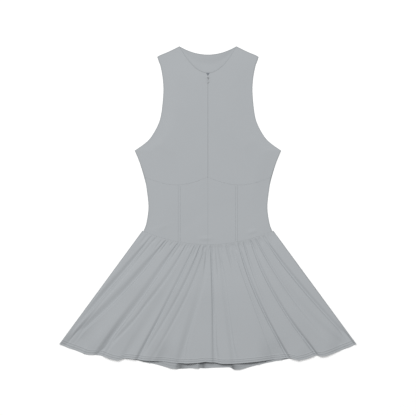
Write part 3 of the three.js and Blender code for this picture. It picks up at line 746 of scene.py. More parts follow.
@dataclass
class Bodice:
    """The upper body and midriff: two fronts, four midriff panels and the back."""

    wardrobe: Wardrobe
    relief: FrontRelief = FrontRelief()
    neck_lift: float = 2.8 * MM
    neck_reach: float = 0.6

    def cloth(self, grid: Grid, rims: FourSides, name: str, node: str,
              flat: tuple[float, float], area: float) -> bpy.types.Object:
        """Args:
            grid: x in metres and the length down the dress in millimetres.
            rims: the rounding of its top, bottom, left and right edge.
            name: the piece's name.
            node: the CAD node it stands for.
            flat: width and length of its cut; not used.
            area: the cut's area; not used.

        Returns:
            The panel.
        """
        x, down = grid
        front = node != "back"
        low = self.relief.underside(x, down) if front else self.neck_rise(x / MM, down)
        y = y_at(down)
        # Painted shade along the free edges
        turns = tuple(PAINTED_EDGE_SHADE_WIDTH if rim == FREE_RIM else 0 for rim in rims)
        piece = ClothGrid(x, y, low, np.full_like(x, CLOTH), x, y).build(name, self.wardrobe.knit, rims, turns)
        put(piece, Body.DRESS, [node])
        return piece

    def neck_rise(self, x: Array, down: Array) -> Array:
        """Work out how the back stands up in the neck opening: to its edge, and not by the shoulders.

        Args:
            x, down: places in millimetres.

        Returns:
            The height in metres: a soft step down from the edge by a parabola across.
        """
        opening = np.maximum(front_neck(x) - back_neck(x), 1)
        share = (down - back_neck(x)) / opening
        return self.neck_lift * smooth(1 - share / self.neck_reach) * np.clip(1 - (x / NECK_HALF)**2, 0, 1)

    def upper_front(self) -> Grid:
        """Return the grid of the right upper front, from the zip to the armhole and down to the cup seam."""
        neck_share, arm_share = 0.55, 0.72
        top = joined(curve(ZIP_MOUTH_HALF, NECK_HALF, front_neck), line(SHOULDER_LINE), neck_share)
        side_end = line((*SIDE_SEAM_LINE[:2], UNDERBUST_SIDE))
        right = joined(line(ARMHOLE_LINE), side_end, arm_share)
        bottom = curve(ZIP_SLIT_HALF, UNDERBUST_SIDE[0], lambda x: underbust(x) - SEAM_HALF)
        neck_down, seam_down = top(np.array([0.0]))[0, 1], bottom(np.array([0.0]))[0, 1]

        def zip_edge(share: Array) -> Array:
            """Return the edge beside the zip: a short open mouth, then the slit."""
            down = lerp(neck_down, seam_down, share)
            mouth = 1 - smooth((down - neck_down) / ZIP_MOUTH_DEPTH)
            return np.stack([lerp(ZIP_SLIT_HALF, ZIP_MOUTH_HALF, mouth), down], -1)

        mouth_rows = np.linspace(0.006, 0.05, 12)
        down = np.sort(np.concatenate([edge_shares(110, 270, (arm_share,)), mouth_rows]))
        return patch(top, bottom, zip_edge, right, edge_shares(72, 160, (neck_share,)), down)

    def midriff_panel(self, inner: float, outer: Edge | float) -> Grid:
        """Work out a midriff panel on the right, from an upright seam to another or to the side.

        Args:
            inner: x of its inner seam.
            outer: x of its outer seam, or the side's edge.

        Returns:
            The panel's grid.
        """
        def upright(x: float) -> Edge:
            """Make a straight seam down from the cup seam to the waist seam."""
            return line(((x, underbust(x) + SEAM_HALF), (x, waist(x) - WAIST_HALF)))

        left = upright(inner)
        right = upright(outer) if isinstance(outer, float) else outer
        ends = np.array([0.0, 1.0])
        (top_from, bottom_from), (top_to, bottom_to) = left(ends)[:, 0], right(ends)[:, 0]
        top = curve(top_from, top_to, lambda x: underbust(x) + SEAM_HALF)
        bottom = curve(bottom_from, bottom_to, lambda x: waist(x) - WAIST_HALF)
        return patch(top, bottom, left, right, edge_shares(40, 80), edge_shares(60, 150))

    def side_edge(self) -> Edge:
        """Make the side seam's edge of the midriff."""
        start = (UNDERBUST_SIDE[0], UNDERBUST_SIDE[1] + SEAM_HALF)
        return line((start, *SIDE_SEAM_LINE[2:-1], (WAIST_SIDE, waist(WAIST_SIDE) - WAIST_HALF)))

    def back_grid(self) -> Grid:
        """Return the grid of the back, from the shoulders to the waist seam."""
        neck_end, arm_share = 0.8, 0.56
        shoulder, neck = line(SHOULDER_LINE), curve(-NECK_HALF, NECK_HALF, back_neck)
        from_left = joined(lambda s: mirrored(shoulder)(1 - s), neck, (1 - neck_end) / neck_end)
        top = joined(from_left, shoulder, neck_end)
        side = line((*SIDE_SEAM_LINE[:-1], (WAIST_SIDE, waist(WAIST_SIDE) - WAIST_HALF)))
        right = joined(line(ARMHOLE_LINE), side, arm_share)
        bottom = curve(-WAIST_SIDE, WAIST_SIDE, lambda x: waist(x) - WAIST_HALF)
        across = edge_shares(110, 300, (1 - neck_end, neck_end))
        return patch(top, bottom, mirrored(right), right, across, edge_shares(150, 440, (arm_share,)))

    def build(self) -> None:
        """Build every panel of the body."""
        seam, slit = float(PANEL_SEAM), SEAM_HALF
        centre = self.midriff_panel(slit, seam - slit)
        side = self.midriff_panel(seam + slit, self.side_edge())
        upper = self.upper_front()
        free, sewn, waisted = FREE_RIM, SEAM_RIM, WAIST_RIM
        self.cloth(self.back_grid(), (free, waisted, free, free), "Back", "back", (0.368, 0.495), 0.134)
        for sign, word in ((1, "right"), (-1, "left")):
            for grid, rims, name, node, flat, area in (
                    (upper, (free, sewn, sewn, free), "Front", "front", (0.184, 0.347), 0.043),
                    (centre, (sewn, waisted, sewn, sewn), "MidriffCentre", "midriff_centre", (0.074, 0.168), 0.0117),
                    (side, (sewn, waisted, sewn, free), "MidriffSide", "midriff_side", (0.09, 0.162), 0.011)):
                x, down = grid
                turned = (x, down) if sign > 0 else (-x[:, ::-1], down[:, ::-1])
                turned_rims = rims if sign > 0 else (*rims[:2], rims[3], rims[2])
                self.cloth(turned, turned_rims, f"{name}_{word}", f"{node}_{word}", flat, area)


@dataclass(frozen=True)
class Fold:
    """A fold of the skirt from the waist seam to the hem, in millimetres.

    Args:
        waist, hem: x at its two ends.
        bow: how far it bends sideways on the way.
        at_waist, at_middle, at_hem: its depth.
        width: how wide its soft side is at the hem.
        lean: the side that is soft, -1 for left and 1 for right, while the other one is crisp, or 0 for both.
    """

    waist: float
    hem: float
    bow: float
    at_waist: float
    at_middle: float
    at_hem: float
    width: float
    lean: int


@dataclass(frozen=True)
class Gather:
    """A short gather below the waist seam: its x there, its length and its depth, in millimetres."""

    waist: float
    length: float
    depth: float


FALL_SHARE = 0.8


@dataclass(frozen=True)
class HemFall:
    """A place where the skirt sinks towards the surface as it nears the hem, in millimetres.

    Args:
        x: its middle at the hem.
        half_wide: half its width.
        reach: how far above the hem it starts.
        depth: how far it sinks at the hem.
    """

    x: float
    half_wide: float
    reach: float
    depth: float

    def at(self, x: Array, t: Array) -> Array:
        """Return its depth at x, a share t of the way down: a hump across by most of a soft step down the skirt."""
        onset = 1 - self.reach / SKIRT_DROP
        return self.depth * hump((x - self.x) / self.half_wide) * smooth(FALL_SHARE * (t - onset) / (1 - onset))


FRONT_FOLDS = (
    Fold(-139, -377, 0, 2.6, 4.6, 2, 14, -1),
    Fold(-129, -361, 0, 1.6, 0.9, 0.5, 7, -1),
    Fold(-104, -371, 8, 2.6, 4.4, 4.4, 20, -1),
    Fold(-88, -337, 2, 0, 0.8, 5.4, 36, 0),
    Fold(-74, -283, 0, 2.6, 3.8, 7.6, 19, -1),
    Fold(-54, -279, 17, 1.8, 2.2, 2.2, 12, -1),
    Fold(-30, -209, 2, 0, 1.2, 2, 20, 0),
    Fold(-33, -181, 2, 1.8, 3.2, 4.8, 10, -1),
    Fold(-19, -176, 11, 2.8, 2, 1, 9, -1),
    Fold(-6, -149, 11.5, 2, 1.9, 0.8, 9, -1),
    Fold(-14, -117, 3, 0, 0.2, 2.4, 24, 0),
    Fold(5, -80, 0, 0.6, 1.5, 4.6, 20, -1),
    Fold(5, 11, 2, 2.8, 3.6, 0.8, 5, -1),
    Fold(5, 12, 1, 0, 0.8, 4.4, 14, -1),
    Fold(23, 60, -1, 1, 1.8, 3, 15, -1),
    Fold(62, 170, -1.5, 1.4, 1.8, 1, 7, 1),
    Fold(66, 172, -4, 0, 0.3, 3.6, 34, 0),
    Fold(77, 206, -12, 2.6, 3.6, 6.4, 8, 1),
    Fold(90, 214, -9, 2.6, 1.4, 0, 8, 1),
    Fold(107, 277, -16, 2.2, 3.2, 5.4, 8, 1),
    Fold(101, 281, -17, 0, 0.3, 1.8, 16, 1),
    Fold(119, 330, -14, 3, 1.6, 0, 7, 1),
    Fold(124, 344, -24, 0.6, 3.4, 3.4, 18, 0),
    Fold(131, 362, -12, 1, 0.2, 0.4, 6, 1),
    Fold(137.5, 371, -7, 3.2, 4.6, 2.6, 10, 1),
    Fold(120, 370, 0, 0, 0.4, 4.6, 38, 0),
)
HEM_FALLS = (
    HemFall(-306, 56, 80, 8),
    HemFall(-104, 56, 60, 9),
    HemFall(166, 50, 60, 8),
    HemFall(334, 44, 70, 7),
    HemFall(248, 30, 30, 3),
)
FRONT_GATHERS = tuple(Gather(*row) for row in (
    (-159, 20, 0.8), (-148, 34, 1.2), (-125, 20, 1), (-112, 30, 0.8), (-96, 44, 1.8), (-85, 18, 1.4),
    (-65, 60, 1.2), (-60, 20, 1.2), (-45, 26, 1), (-39, 18, 0.9), (-24.5, 40, 1.2), (-8, 24, 1.6),
    (-1.5, 90, 1.6), (12.5, 34, 1.2), (19, 100, 1.5), (28, 70, 1.4), (33.5, 34, 1.3), (45, 80, 1.5), (52, 22, 1),
    (57, 60, 1.2), (64.5, 28, 1.2), (79, 26, 1.1), (92.5, 20, 1), (100, 20, 1.3), (105, 34, 1), (112, 44, 1.2),
    (125.5, 24, 1.4), (138.5, 20, 1.3), (147, 36, 1), (152, 24, 0.8), (158.5, 18, 0.6),
))
# Threads of the skirt: x on the waist seam, x at the hem and bow, in millimetres
THREADS = ((-163.6, -370.8, 0), (-138, -358, 2), (-107, -340, 5), (-76, -283, 1), (-56, -240, 5), (-33.5, -184, 4),
           (-14, -121, 3), (5, 8, 1), (24, 60, 0), (45, 124, -1), (72, 204, -9), (101, 270, -12), (131, 340, -8),
           (150, 360, -2), (163.6, 370.8, 0))
BACK_FOLDS = (
    Fold(-143, -354, 2, 0.9, 2, 1.4, 13, 1),
    Fold(-119, -312, 4, 0.9, 2.6, 2.4, 16, 1),
    Fold(-93, -262, 3, 1, 3, 3, 19, 1),
    Fold(-68, -204, 2, 0.9, 2.6, 3.2, 18, 1),
    Fold(-46, -146, 0, 0.9, 2.4, 2.8, 17, -1),
    Fold(-27, -80, 0, 1, 2.2, 6.6, 50, -1),
    Fold(-7, -23, 0, 0.9, 2.4, 7, 22, -1),
    Fold(22, 65, 0, 1, 2.6, 7, 50, 1),
    Fold(49, 126, -2, 0.9, 2.4, 2.6, 17, 1),
    Fold(71, 186, -3, 0.9, 2.8, 3.2, 19, -1),
    Fold(97, 248, -4, 1, 3, 2.8, 18, -1),
    Fold(121, 308, -4, 0.9, 2.4, 2.2, 15, -1),
    Fold(144, 353, -2, 0.9, 2, 1.4, 13, -1),
)
BACK_GATHERS = tuple(Gather(*row) for row in (
    (-157, 20, 0.5), (-131, 26, 0.7), (-106, 22, 0.6), (-85, 34, 0.7), (-77, 18, 0.6), (-57, 30, 0.7),
    (-37, 24, 0.6), (-17, 36, 0.7), (3, 22, 0.6), (12, 40, 0.7), (32, 26, 0.6), (41, 18, 0.6), (60, 34, 0.7),
    (82, 20, 0.6), (90, 30, 0.6), (109, 24, 0.7), (132, 28, 0.7), (157, 20, 0.5),
))
# Front hem as x and length down the dress, and back hem as x and how far it shows below the front hem
FRONT_HEM = np.array([
    (-370, 743.5), (-356, 750), (-346, 754), (-334, 758), (-316, 765), (-306, 769), (-296, 770.4), (-286, 770),
    (-266, 772.3), (-256, 775.3), (-246, 779.3), (-231, 783), (-224, 784), (-209, 778.6), (-196, 779.3),
    (-159, 784), (-104, 787.8), (-76, 791), (-54, 791.3), (-26, 789.8), (-6, 787), (16, 789), (36, 792), (64, 792),
    (92, 789.8), (120, 787), (161, 782.8), (198, 778.8), (206, 778.3), (226, 783.8), (248, 779.5), (268, 771.5),
    (284, 773.8), (294, 772.8), (314, 766), (342, 755.4), (356, 750.2), (370, 743.5)])
BACK_HEM = np.array([
    (-370, 0.6), (-231, 0.6), (-209, 1.6), (-174, 3), (-134, 8), (-94, 15), (-76, 15), (-50, 13.5), (-24, 14.4),
    (-6, 17.5), (16, 14), (36, 10.5), (54, 10), (66, 15), (80, 16.3), (96, 14), (136, 8), (176, 4), (206, 2),
    (231, 0.6), (370, 0.6)])
# Painted shade of the back hem's deep hollows: x, how dark, how far the dark runs out to either side, in millimetres
PAINTED_BACK_HOLLOWS = ((-69.5, 2, 4, 10), (-12.5, 2.4, 3.5, 4), (62, 1.9, 3.5, 8))
# Shares of the way down: where a fold has its full width and its middle depth, and from where it feels the hem
FULL_WIDTH_FROM = 0.32
MIDDLE = 0.4
HEM_ZONE = 0.82
CRISP_LEAST = 1.0
# Half width of the even part near the hem and of the slope beside it, way from a side to the full loft, and way from
# a side in which the folds fade, in millimetres
HEM_FLAT = 110
HEM_SLOPE = 130
SIDE_SLOPE = 60
SIDE_FLAT = 5
# Shares of the way down: where the full loft, the hem's loft, the rounding of the sides and the hollows' painted shade
# begin
FULL_LOFT_FROM = 0.45
HEM_LOFT_FROM = 0.6
ROUND_FROM = 0.12
HOLLOWS_FROM, HOLLOWS_WAY = 0.8, 0.1
# The most that a slope adds to the wall's height, as a factor
STEEPEST_WALL = 2
# Width of the step at the top of the turned-up hem, and how far inside the hem it starts, in millimetres
HEM_STEP = 1.2
HEM_STEP_IN = 0.8
# Rows of the grid: below the waist seam and above the hem in millimetres, and where above the hem the others end
SEAM_ROWS = (0.1, 0.3, 0.7, 1.2)
HEM_ROWS = (0, 0.1, 0.3, 0.6, 1.1, 2, 3, 3.7, 4.5, 5.3, 6, 7, 8, 8.8, 9.5, 10.1, 10.7, 11.3, 11.9, 13)
ROWS_END = HEM_BAND + 4
ROW_SPREAD = 1.25
# The back hem's distance below the front hem grows with this power of the share of the way down
BACK_DROP_POWER = 6
# Ripples as size in millimetres, turn per millimetre at the waist seam and phase; broad ones also turn down the skirt
FINE_RIPPLES = ((0.2, 0.93, 1), (0.16, 0.61, 2.6), (0.12, 1.47, 0))
BROAD_RIPPLES = ((0.14, 0.21, 0.6, 2), (0.098, 0.13, 0, -3))
RIPPLE_FADE = 0.09
BROAD_FROM = 0.3


class Side(Enum):
    """The two sides of the skirt."""

    FRONT = "front"
    BACK = "back"


@dataclass
class Skirt:
    """The gathered skirt: two panels that share one plan and have folds of their own.

    Lofts are how high the front stands: in its middle and beside its sides, the same near the hem, and at the seam.
    A side is rounded over side_round below the gathers and over seam_side_round at the seam. The folds take
    seam_length to reach their depth; crisp_at_hem and lead are for the front and the back, as shares of a fold's
    width. Lengths without MM are in millimetres.
    """

    wardrobe: Wardrobe
    loft: float = 12.0
    side_loft: float = 7.0
    hem_loft: float = 12.5
    hem_side_loft: float = 9.0
    seam_loft: float = 2.6
    side_round: float = 6.0
    seam_side_round: float = 45.0
    seam_length: float = 9.0
    crisp_share: float = 0.25
    crisp_at_hem: tuple[float, float] = (0.9, 0.1)
    lead: tuple[float, float] = (0.6, 0.0)
    gather_width: float = 4.6
    fullness: float = 0.62
    # Painted shade on the back's upper face, for the shade below the front's hem, and painted shade along the needle
    # rows
    painted_back_shade: float = 0.4
    painted_needle_shade: float = 0.5
    hem_extra: float = 0.6 * MM
    groove: float = 0.5 * MM
    groove_half: float = 1.5

    def thread(self, start: Array | float, t: Array | float) -> Array:
        """Follow threads of the cloth down the skirt.

        Args:
            start: where they start on the waist seam, in millimetres.
            t: the share of the way down.

        Returns:
            Where they are across: on the way to their end at the hem, plus a parabola's bow, both read from the table.
        """
        at_waist, at_hem, bow = np.array(THREADS, float).T
        hem = np.interp(start, at_waist, at_hem)
        return lerp(start, hem, t) + 4 * np.interp(start, at_waist, bow) * t * (1 - t)

    def fold_height(self, side: Side, x: Array, t: Array) -> Array:
        """Add up the folds of one side.

        A fold is a cosine hump across its line, wide on its soft side and narrow on its crisp one, and its depth
        goes by soft steps from the waist to the middle and on to the hem. A gather fades out in the lower half of
        its length.

        Args:
            side: front or back.
            x: places across, in millimetres.
            t: shares of the way down.

        Returns:
            Their height in millimetres.
        """
        front = side is Side.FRONT
        folds, gathers = (FRONT_FOLDS, FRONT_GATHERS) if front else (BACK_FOLDS, BACK_GATHERS)
        lead, crisp_at_hem = (pair[0 if front else 1] for pair in (self.lead, self.crisp_at_hem))
        height = np.zeros(np.broadcast(x, t).shape)
        for fold in folds:
            width = lerp(self.gather_width, fold.width, smooth(t / FULL_WIDTH_FROM))
            bottom = lerp(fold.waist, fold.hem, t) + 4 * fold.bow * t * (1 - t) - fold.lean * lead * width
            off = x - bottom
            soft = (off * fold.lean > 0) | (fold.lean == 0)
            size = np.where(t < MIDDLE, lerp(fold.at_waist, fold.at_middle, smooth(t / MIDDLE)),
                            lerp(fold.at_middle, fold.at_hem, smooth((t - MIDDLE) / (1 - MIDDLE))))
            crispness = lerp(self.crisp_share, crisp_at_hem, smooth((t - HEM_ZONE) / (1 - HEM_ZONE)))
            height += size * hump(off / np.where(soft, width, width * crispness + CRISP_LEAST))
        for gather in gathers:
            left = 1 - t * SKIRT_DROP / gather.length
            off = (x - self.thread(gather.waist, t)) / self.gather_width
            height += gather.depth * smooth(left * 2) * hump(off)
        return height * smooth(t * SKIRT_DROP / self.seam_length)

    def ripples(self, start: Array, t: Array) -> Array:
        """Work out the unevenness along the threads.

        Args:
            start: where the threads start on the waist seam, in millimetres.
            t: shares of the way down.

        Returns:
            Its height in millimetres: fine sines that fade out below the gathers, and broad ones that come in there.
        """
        fine = sum(size * np.sin(start * pace + phase) for size, pace, phase in FINE_RIPPLES)
        broad = sum(size * np.sin(start * pace + phase + drift * t) for size, pace, phase, drift in BROAD_RIPPLES)
        near_seam = np.exp(-t / RIPPLE_FADE) * smooth(t * SKIRT_DROP / self.seam_length)
        return fine * near_seam + broad * smooth(t / BROAD_FROM)

    def tall(self, x: Array, height: Array) -> Array:
        """Return the wall's height in z, which grows on a slope so that the cloth keeps its thickness."""
        slope = np.gradient(height, axis=1) / np.gradient(x, axis=1)
        return CLOTH / MM * np.minimum(STEEPEST_WALL, np.hypot(1, slope))

    def back_underside(self, x: Array, t: Array) -> Array:
        """Return the height of the back's underside in millimetres: flat, with folds that stand up."""
        return self.fold_height(Side.BACK, x, t)

    def front_underside(self, start: Array, x: Array, t: Array) -> Array:
        """Work out how high the front's underside is: lofted, with folds that sink to the back.

        Args:
            start: where the threads start on the waist seam.
            x: places across.
            t: shares of the way down.

        Returns:
            The height in millimetres: the loft less the folds, but never below the back's upper face and the gap.
        """
        inside = lerp(SKIRT_TOP_HALF, HEM_HALF, t) - np.abs(x)
        inward = smooth(inside / SIDE_FLAT)
        above = lerp(self.side_loft, self.loft, smooth(inside / SIDE_SLOPE))
        at_hem = lerp(self.hem_loft, self.hem_side_loft, smooth((np.abs(x) - HEM_FLAT) / HEM_SLOPE))
        crown = lerp(above, at_hem, smooth((t - HEM_LOFT_FROM) / (1 - HEM_LOFT_FROM)))
        rounded = np.sqrt(1 - (1 - np.clip(inside / self.side_round, 0, 1))**2)
        rounded = lerp(smooth(inside / self.seam_side_round), rounded, smooth(t / ROUND_FROM))
        loft = lerp(self.seam_loft, crown, smooth(t / FULL_LOFT_FROM)) * rounded
        back = self.back_underside(x, t)
        on_back = back + self.tall(x, back) + GAP / MM
        falls = sum(fall.at(x, t) for fall in HEM_FALLS)
        folds = self.fold_height(Side.FRONT, x, t) - self.ripples(start, t) + falls
        return np.maximum(on_back, BASE / MM + loft - folds * inward)

    def columns(self, count: int) -> Array:
        """Space the columns evenly between what the waist and the hem need.

        Args:
            count: the number of even steps.

        Returns:
            Where they start on the waist seam, in millimetres.
        """
        start = np.linspace(-SKIRT_TOP_HALF, SKIRT_TOP_HALF, 2000)
        need = start / SKIRT_TOP_HALF + self.thread(start, 1.0) / HEM_HALF
        even = edge_shares(count, 2 * HEM_HALF) * 4 - 2
        return np.interp(even, need, start)

    def rows(self, count: int) -> Array:
        """Space the rows, close together at the waist and in the hem band.

        Args:
            count: the number of rows above the hem band.

        Returns:
            Their shares of the way down.
        """
        above = np.linspace(0, 1, count)**ROW_SPREAD * (1 - ROWS_END / SKIRT_DROP)
        near_seam, near_hem = np.array(SEAM_ROWS) / SKIRT_DROP, 1 - np.array(HEM_ROWS) / SKIRT_DROP
        return np.sort(np.concatenate([above, near_seam, near_hem]))

    def place(self, side: Side, x: Array, t: Array) -> Array:
        """Work out how far down the dress points of the skirt are, from the waist seam to the hem.

        Args:
            side: front or back.
            x: places across, in millimetres.
            t: shares of the way down.

        Returns:
            The lengths in millimetres.
        """
        across = x / lerp(SKIRT_TOP_HALF, HEM_HALF, t)
        top = waist(across * SKIRT_TOP_HALF) + WAIST_HALF
        at_hem = across * HEM_HALF
        hem = np.interp(at_hem, FRONT_HEM[:, 0], FRONT_HEM[:, 1])
        if side is Side.BACK:
            hem = hem + np.interp(at_hem, BACK_HEM[:, 0], BACK_HEM[:, 1]) * t**BACK_DROP_POWER
        return lerp(top, hem, t)

    def pressed(self, t: Array) -> Array:
        """Return how much the needle rows press the cloth in, a share t of the way down: two cosine grooves."""
        return sum(hump(((1 - t) * SKIRT_DROP - needle) / self.groove_half) for needle in HEM_NEEDLES)

    def surface(self, side: Side, start: Array, t: Array) -> tuple[Array, Array, Array, Array]:
        """Work out one side of the skirt.

        Args:
            side: front or back.
            start: x of the columns on the waist seam, in millimetres.
            t: shares of the way down of the rows.

        Returns:
            x, y, the underside's height and the wall's height, in metres, each of shape (rows, columns).
        """
        start, t = start[None, :], t[:, None]
        x = self.thread(start, t)
        low = self.back_underside(x, t) if side is Side.BACK else self.front_underside(start, x, t)
        from_hem = (1 - t) * SKIRT_DROP
        turned = 1 - smooth((from_hem - HEM_BAND + HEM_STEP_IN) / HEM_STEP)
        thick = self.tall(x, low) * MM + self.hem_extra * turned - self.groove * self.pressed(t)
        return x * MM, y_at(self.place(side, x, t)), low * MM, thick

    def painted_hollow_shade(self, x: Array, t: Array) -> Array:
        """Work out the painted shade of the back's upper face.

        Args:
            x: places across, in millimetres.
            t: shares of the way down.

        Returns:
            An even painted shade, plus the painted shade exp(-distance / way) of each hollow near the hem.
        """
        dark = sum(depth * np.exp(-np.maximum((at - x) / left, (x - at) / right))
                   for at, depth, left, right in PAINTED_BACK_HOLLOWS)
        return self.painted_back_shade + dark * smooth((t - HOLLOWS_FROM) / HOLLOWS_WAY)

    def panel(self, side: Side, columns: int, rows: int) -> bpy.types.Object:
        """Args:
            side: front or back.
            columns, rows: the size of its grid.

        Returns:
            The piece.
        """
        start, t = self.columns(columns), self.rows(rows)
        x, y, low, thick = self.surface(side, start, t)
        u = self.thread(start[None, :], 1.0) * lerp(self.fullness, 1, t[:, None]) * MM
        rims = (WAIST_RIM, FREE_RIM, FREE_RIM, FREE_RIM)
        # Painted shade along the sides and the needle rows, and on the back's upper face and in its hollows
        turns = (0, 0, PAINTED_EDGE_SHADE_WIDTH, PAINTED_EDGE_SHADE_WIDTH)
        pressed = self.painted_needle_shade * self.pressed(t[:, None])
        inside = self.painted_hollow_shade(x / MM, t[:, None]) if side is Side.BACK else 0.0
        cloth = ClothGrid(x, y, low, thick, u, y, pressed, inside)
        piece = cloth.build(f"Skirt_{side.value}", self.wardrobe.knit, rims, turns)
        put(piece, Body.DRESS, [f"skirt_{side.value}"])
        return piece

    def hem_rows(self, side: Side, pitch: float) -> list[Array]:
        """Lay the stitches of the two needle rows above the hem.

        Args:
            side: front or back.
            pitch: from one stitch to the next.

        Returns:
            Their middles, of shape (n, 3), for each row.
        """
        start = self.columns(1400)
        t = 1 - np.array(HEM_NEEDLES)[::-1] / SKIRT_DROP
        x, y, low, thick = self.surface(side, start, np.sort(np.concatenate([t, t + 1e-4])))
        return [walk(np.stack([x[row], y[row], (low + thick)[row]], -1), pitch) for row in (0, 2)]

    def build(self) -> None:
        """Build both sides."""
        self.panel(Side.BACK, 250, 78)
        self.panel(Side.FRONT, 400, 92)


def tube_faces(sections: int, sides: int) -> tuple[Array, Array]:
    """Number the faces of a closed tube, whose vertices run round each section in turn.

    Args:
        sections: the number of sections.
        sides: the number of vertices in each.

    Returns:
        The side faces and the two end faces.
    """
    number = np.arange(sections * sides).reshape(sections, sides)
    after = np.roll(number, -1, axis=1)
    around = np.stack([number[:-1], after[:-1], after[1:], number[1:]], -1).reshape(-1, 4)
    return around, np.stack([number[0, ::-1], number[-1]])


@dataclass
class Stitching:
    """Rows of thread stitches that lie on the cloth.

    A section has its place along the stitch, from -1 to 1, and its share of the radius. The middle lies rise radii
    above the cloth, and the ends dive below it. The topstitching ends end_gap millimetres from the seams.
    """

    wardrobe: Wardrobe
    stitch: float = 2.3 * MM
    pitch: float = 3.0 * MM
    radius: float = 0.22 * MM
    sides: int = 6
    sections: tuple[tuple[float, float], ...] = ((-1, 0.35), (-0.85, 0.85), (0, 1), (0.85, 0.85), (1, 0.35))
    rise: float = 0.45
    dive: float = 1.3
    end_gap: float = 1.5

    def row(self, name: str, rows: Sequence[Array]) -> bpy.types.Object:
        """Build stitches, each a six-sided thread that comes out of the cloth at one end and dives in at the other.

        Args:
            name: the piece's name.
            rows: the middles of the stitches of each row, of shape (n, 3).

        Returns:
            The stitches as one object.
        """
        middles = np.vstack(rows)
        along = np.vstack([np.gradient(row, axis=0) for row in rows])
        along /= np.linalg.norm(along, axis=1)[:, None]
        across = np.stack([-along[:, 1], along[:, 0], np.zeros(len(along))], -1)
        up = np.cross(along, across)
        shift, swell = np.array(self.sections).T
        rise = self.rise - self.dive * np.abs(shift)**3
        angle = np.arange(self.sides) * 2 * np.pi / self.sides
        ring_across = self.radius * swell[:, None] * np.cos(angle)
        ring_up = self.radius * (swell[:, None] * np.sin(angle) + rise[:, None])
        vertices = (middles[:, None, None] + along[:, None, None] * (shift * self.stitch / 2)[None, :, None, None]
                    + across[:, None, None] * ring_across[None, ..., None]
                    + up[:, None, None] * ring_up[None, ..., None])
        around, ends = tube_faces(len(shift), self.sides)
        first = np.arange(len(middles))[:, None, None] * len(shift) * self.sides
        faces = [*(around + first).reshape(-1, 4).tolist(), *(ends + first).reshape(-1, self.sides).tolist()]
        piece = make_object(name, vertices.reshape(-1, 3), faces, self.wardrobe.thread)
        return put(piece, Body.DRESS)

    def build(self, skirt: Skirt, relief: FrontRelief) -> None:
        """Build the twin rows of both hems and the topstitching of the midriff.

        Args:
            skirt: gives the hems' rows.
            relief: gives the height of the midriff.
        """
        self.row("Hem_stitches_front", skirt.hem_rows(Side.FRONT, self.pitch))
        self.row("Hem_stitches_back", skirt.hem_rows(Side.BACK, self.pitch))
        rows = []
        for sign in (-1, 1):
            down = np.linspace(underbust(TOPSTITCH) + self.end_gap, waist(TOPSTITCH) - self.end_gap, 80)
            x = np.full_like(down, sign * TOPSTITCH * MM)
            z = relief.underside(x, down) + CLOTH
            rows.append(walk(np.stack([x, y_at(down), z], -1), self.pitch))
        self.row("Midriff_topstitch", rows)


def node_box(node: str) -> tuple[Array, Array]:
    """Return the low and the high corner of a CAD node."""
    low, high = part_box(node)
    return np.array(low), np.array(high)


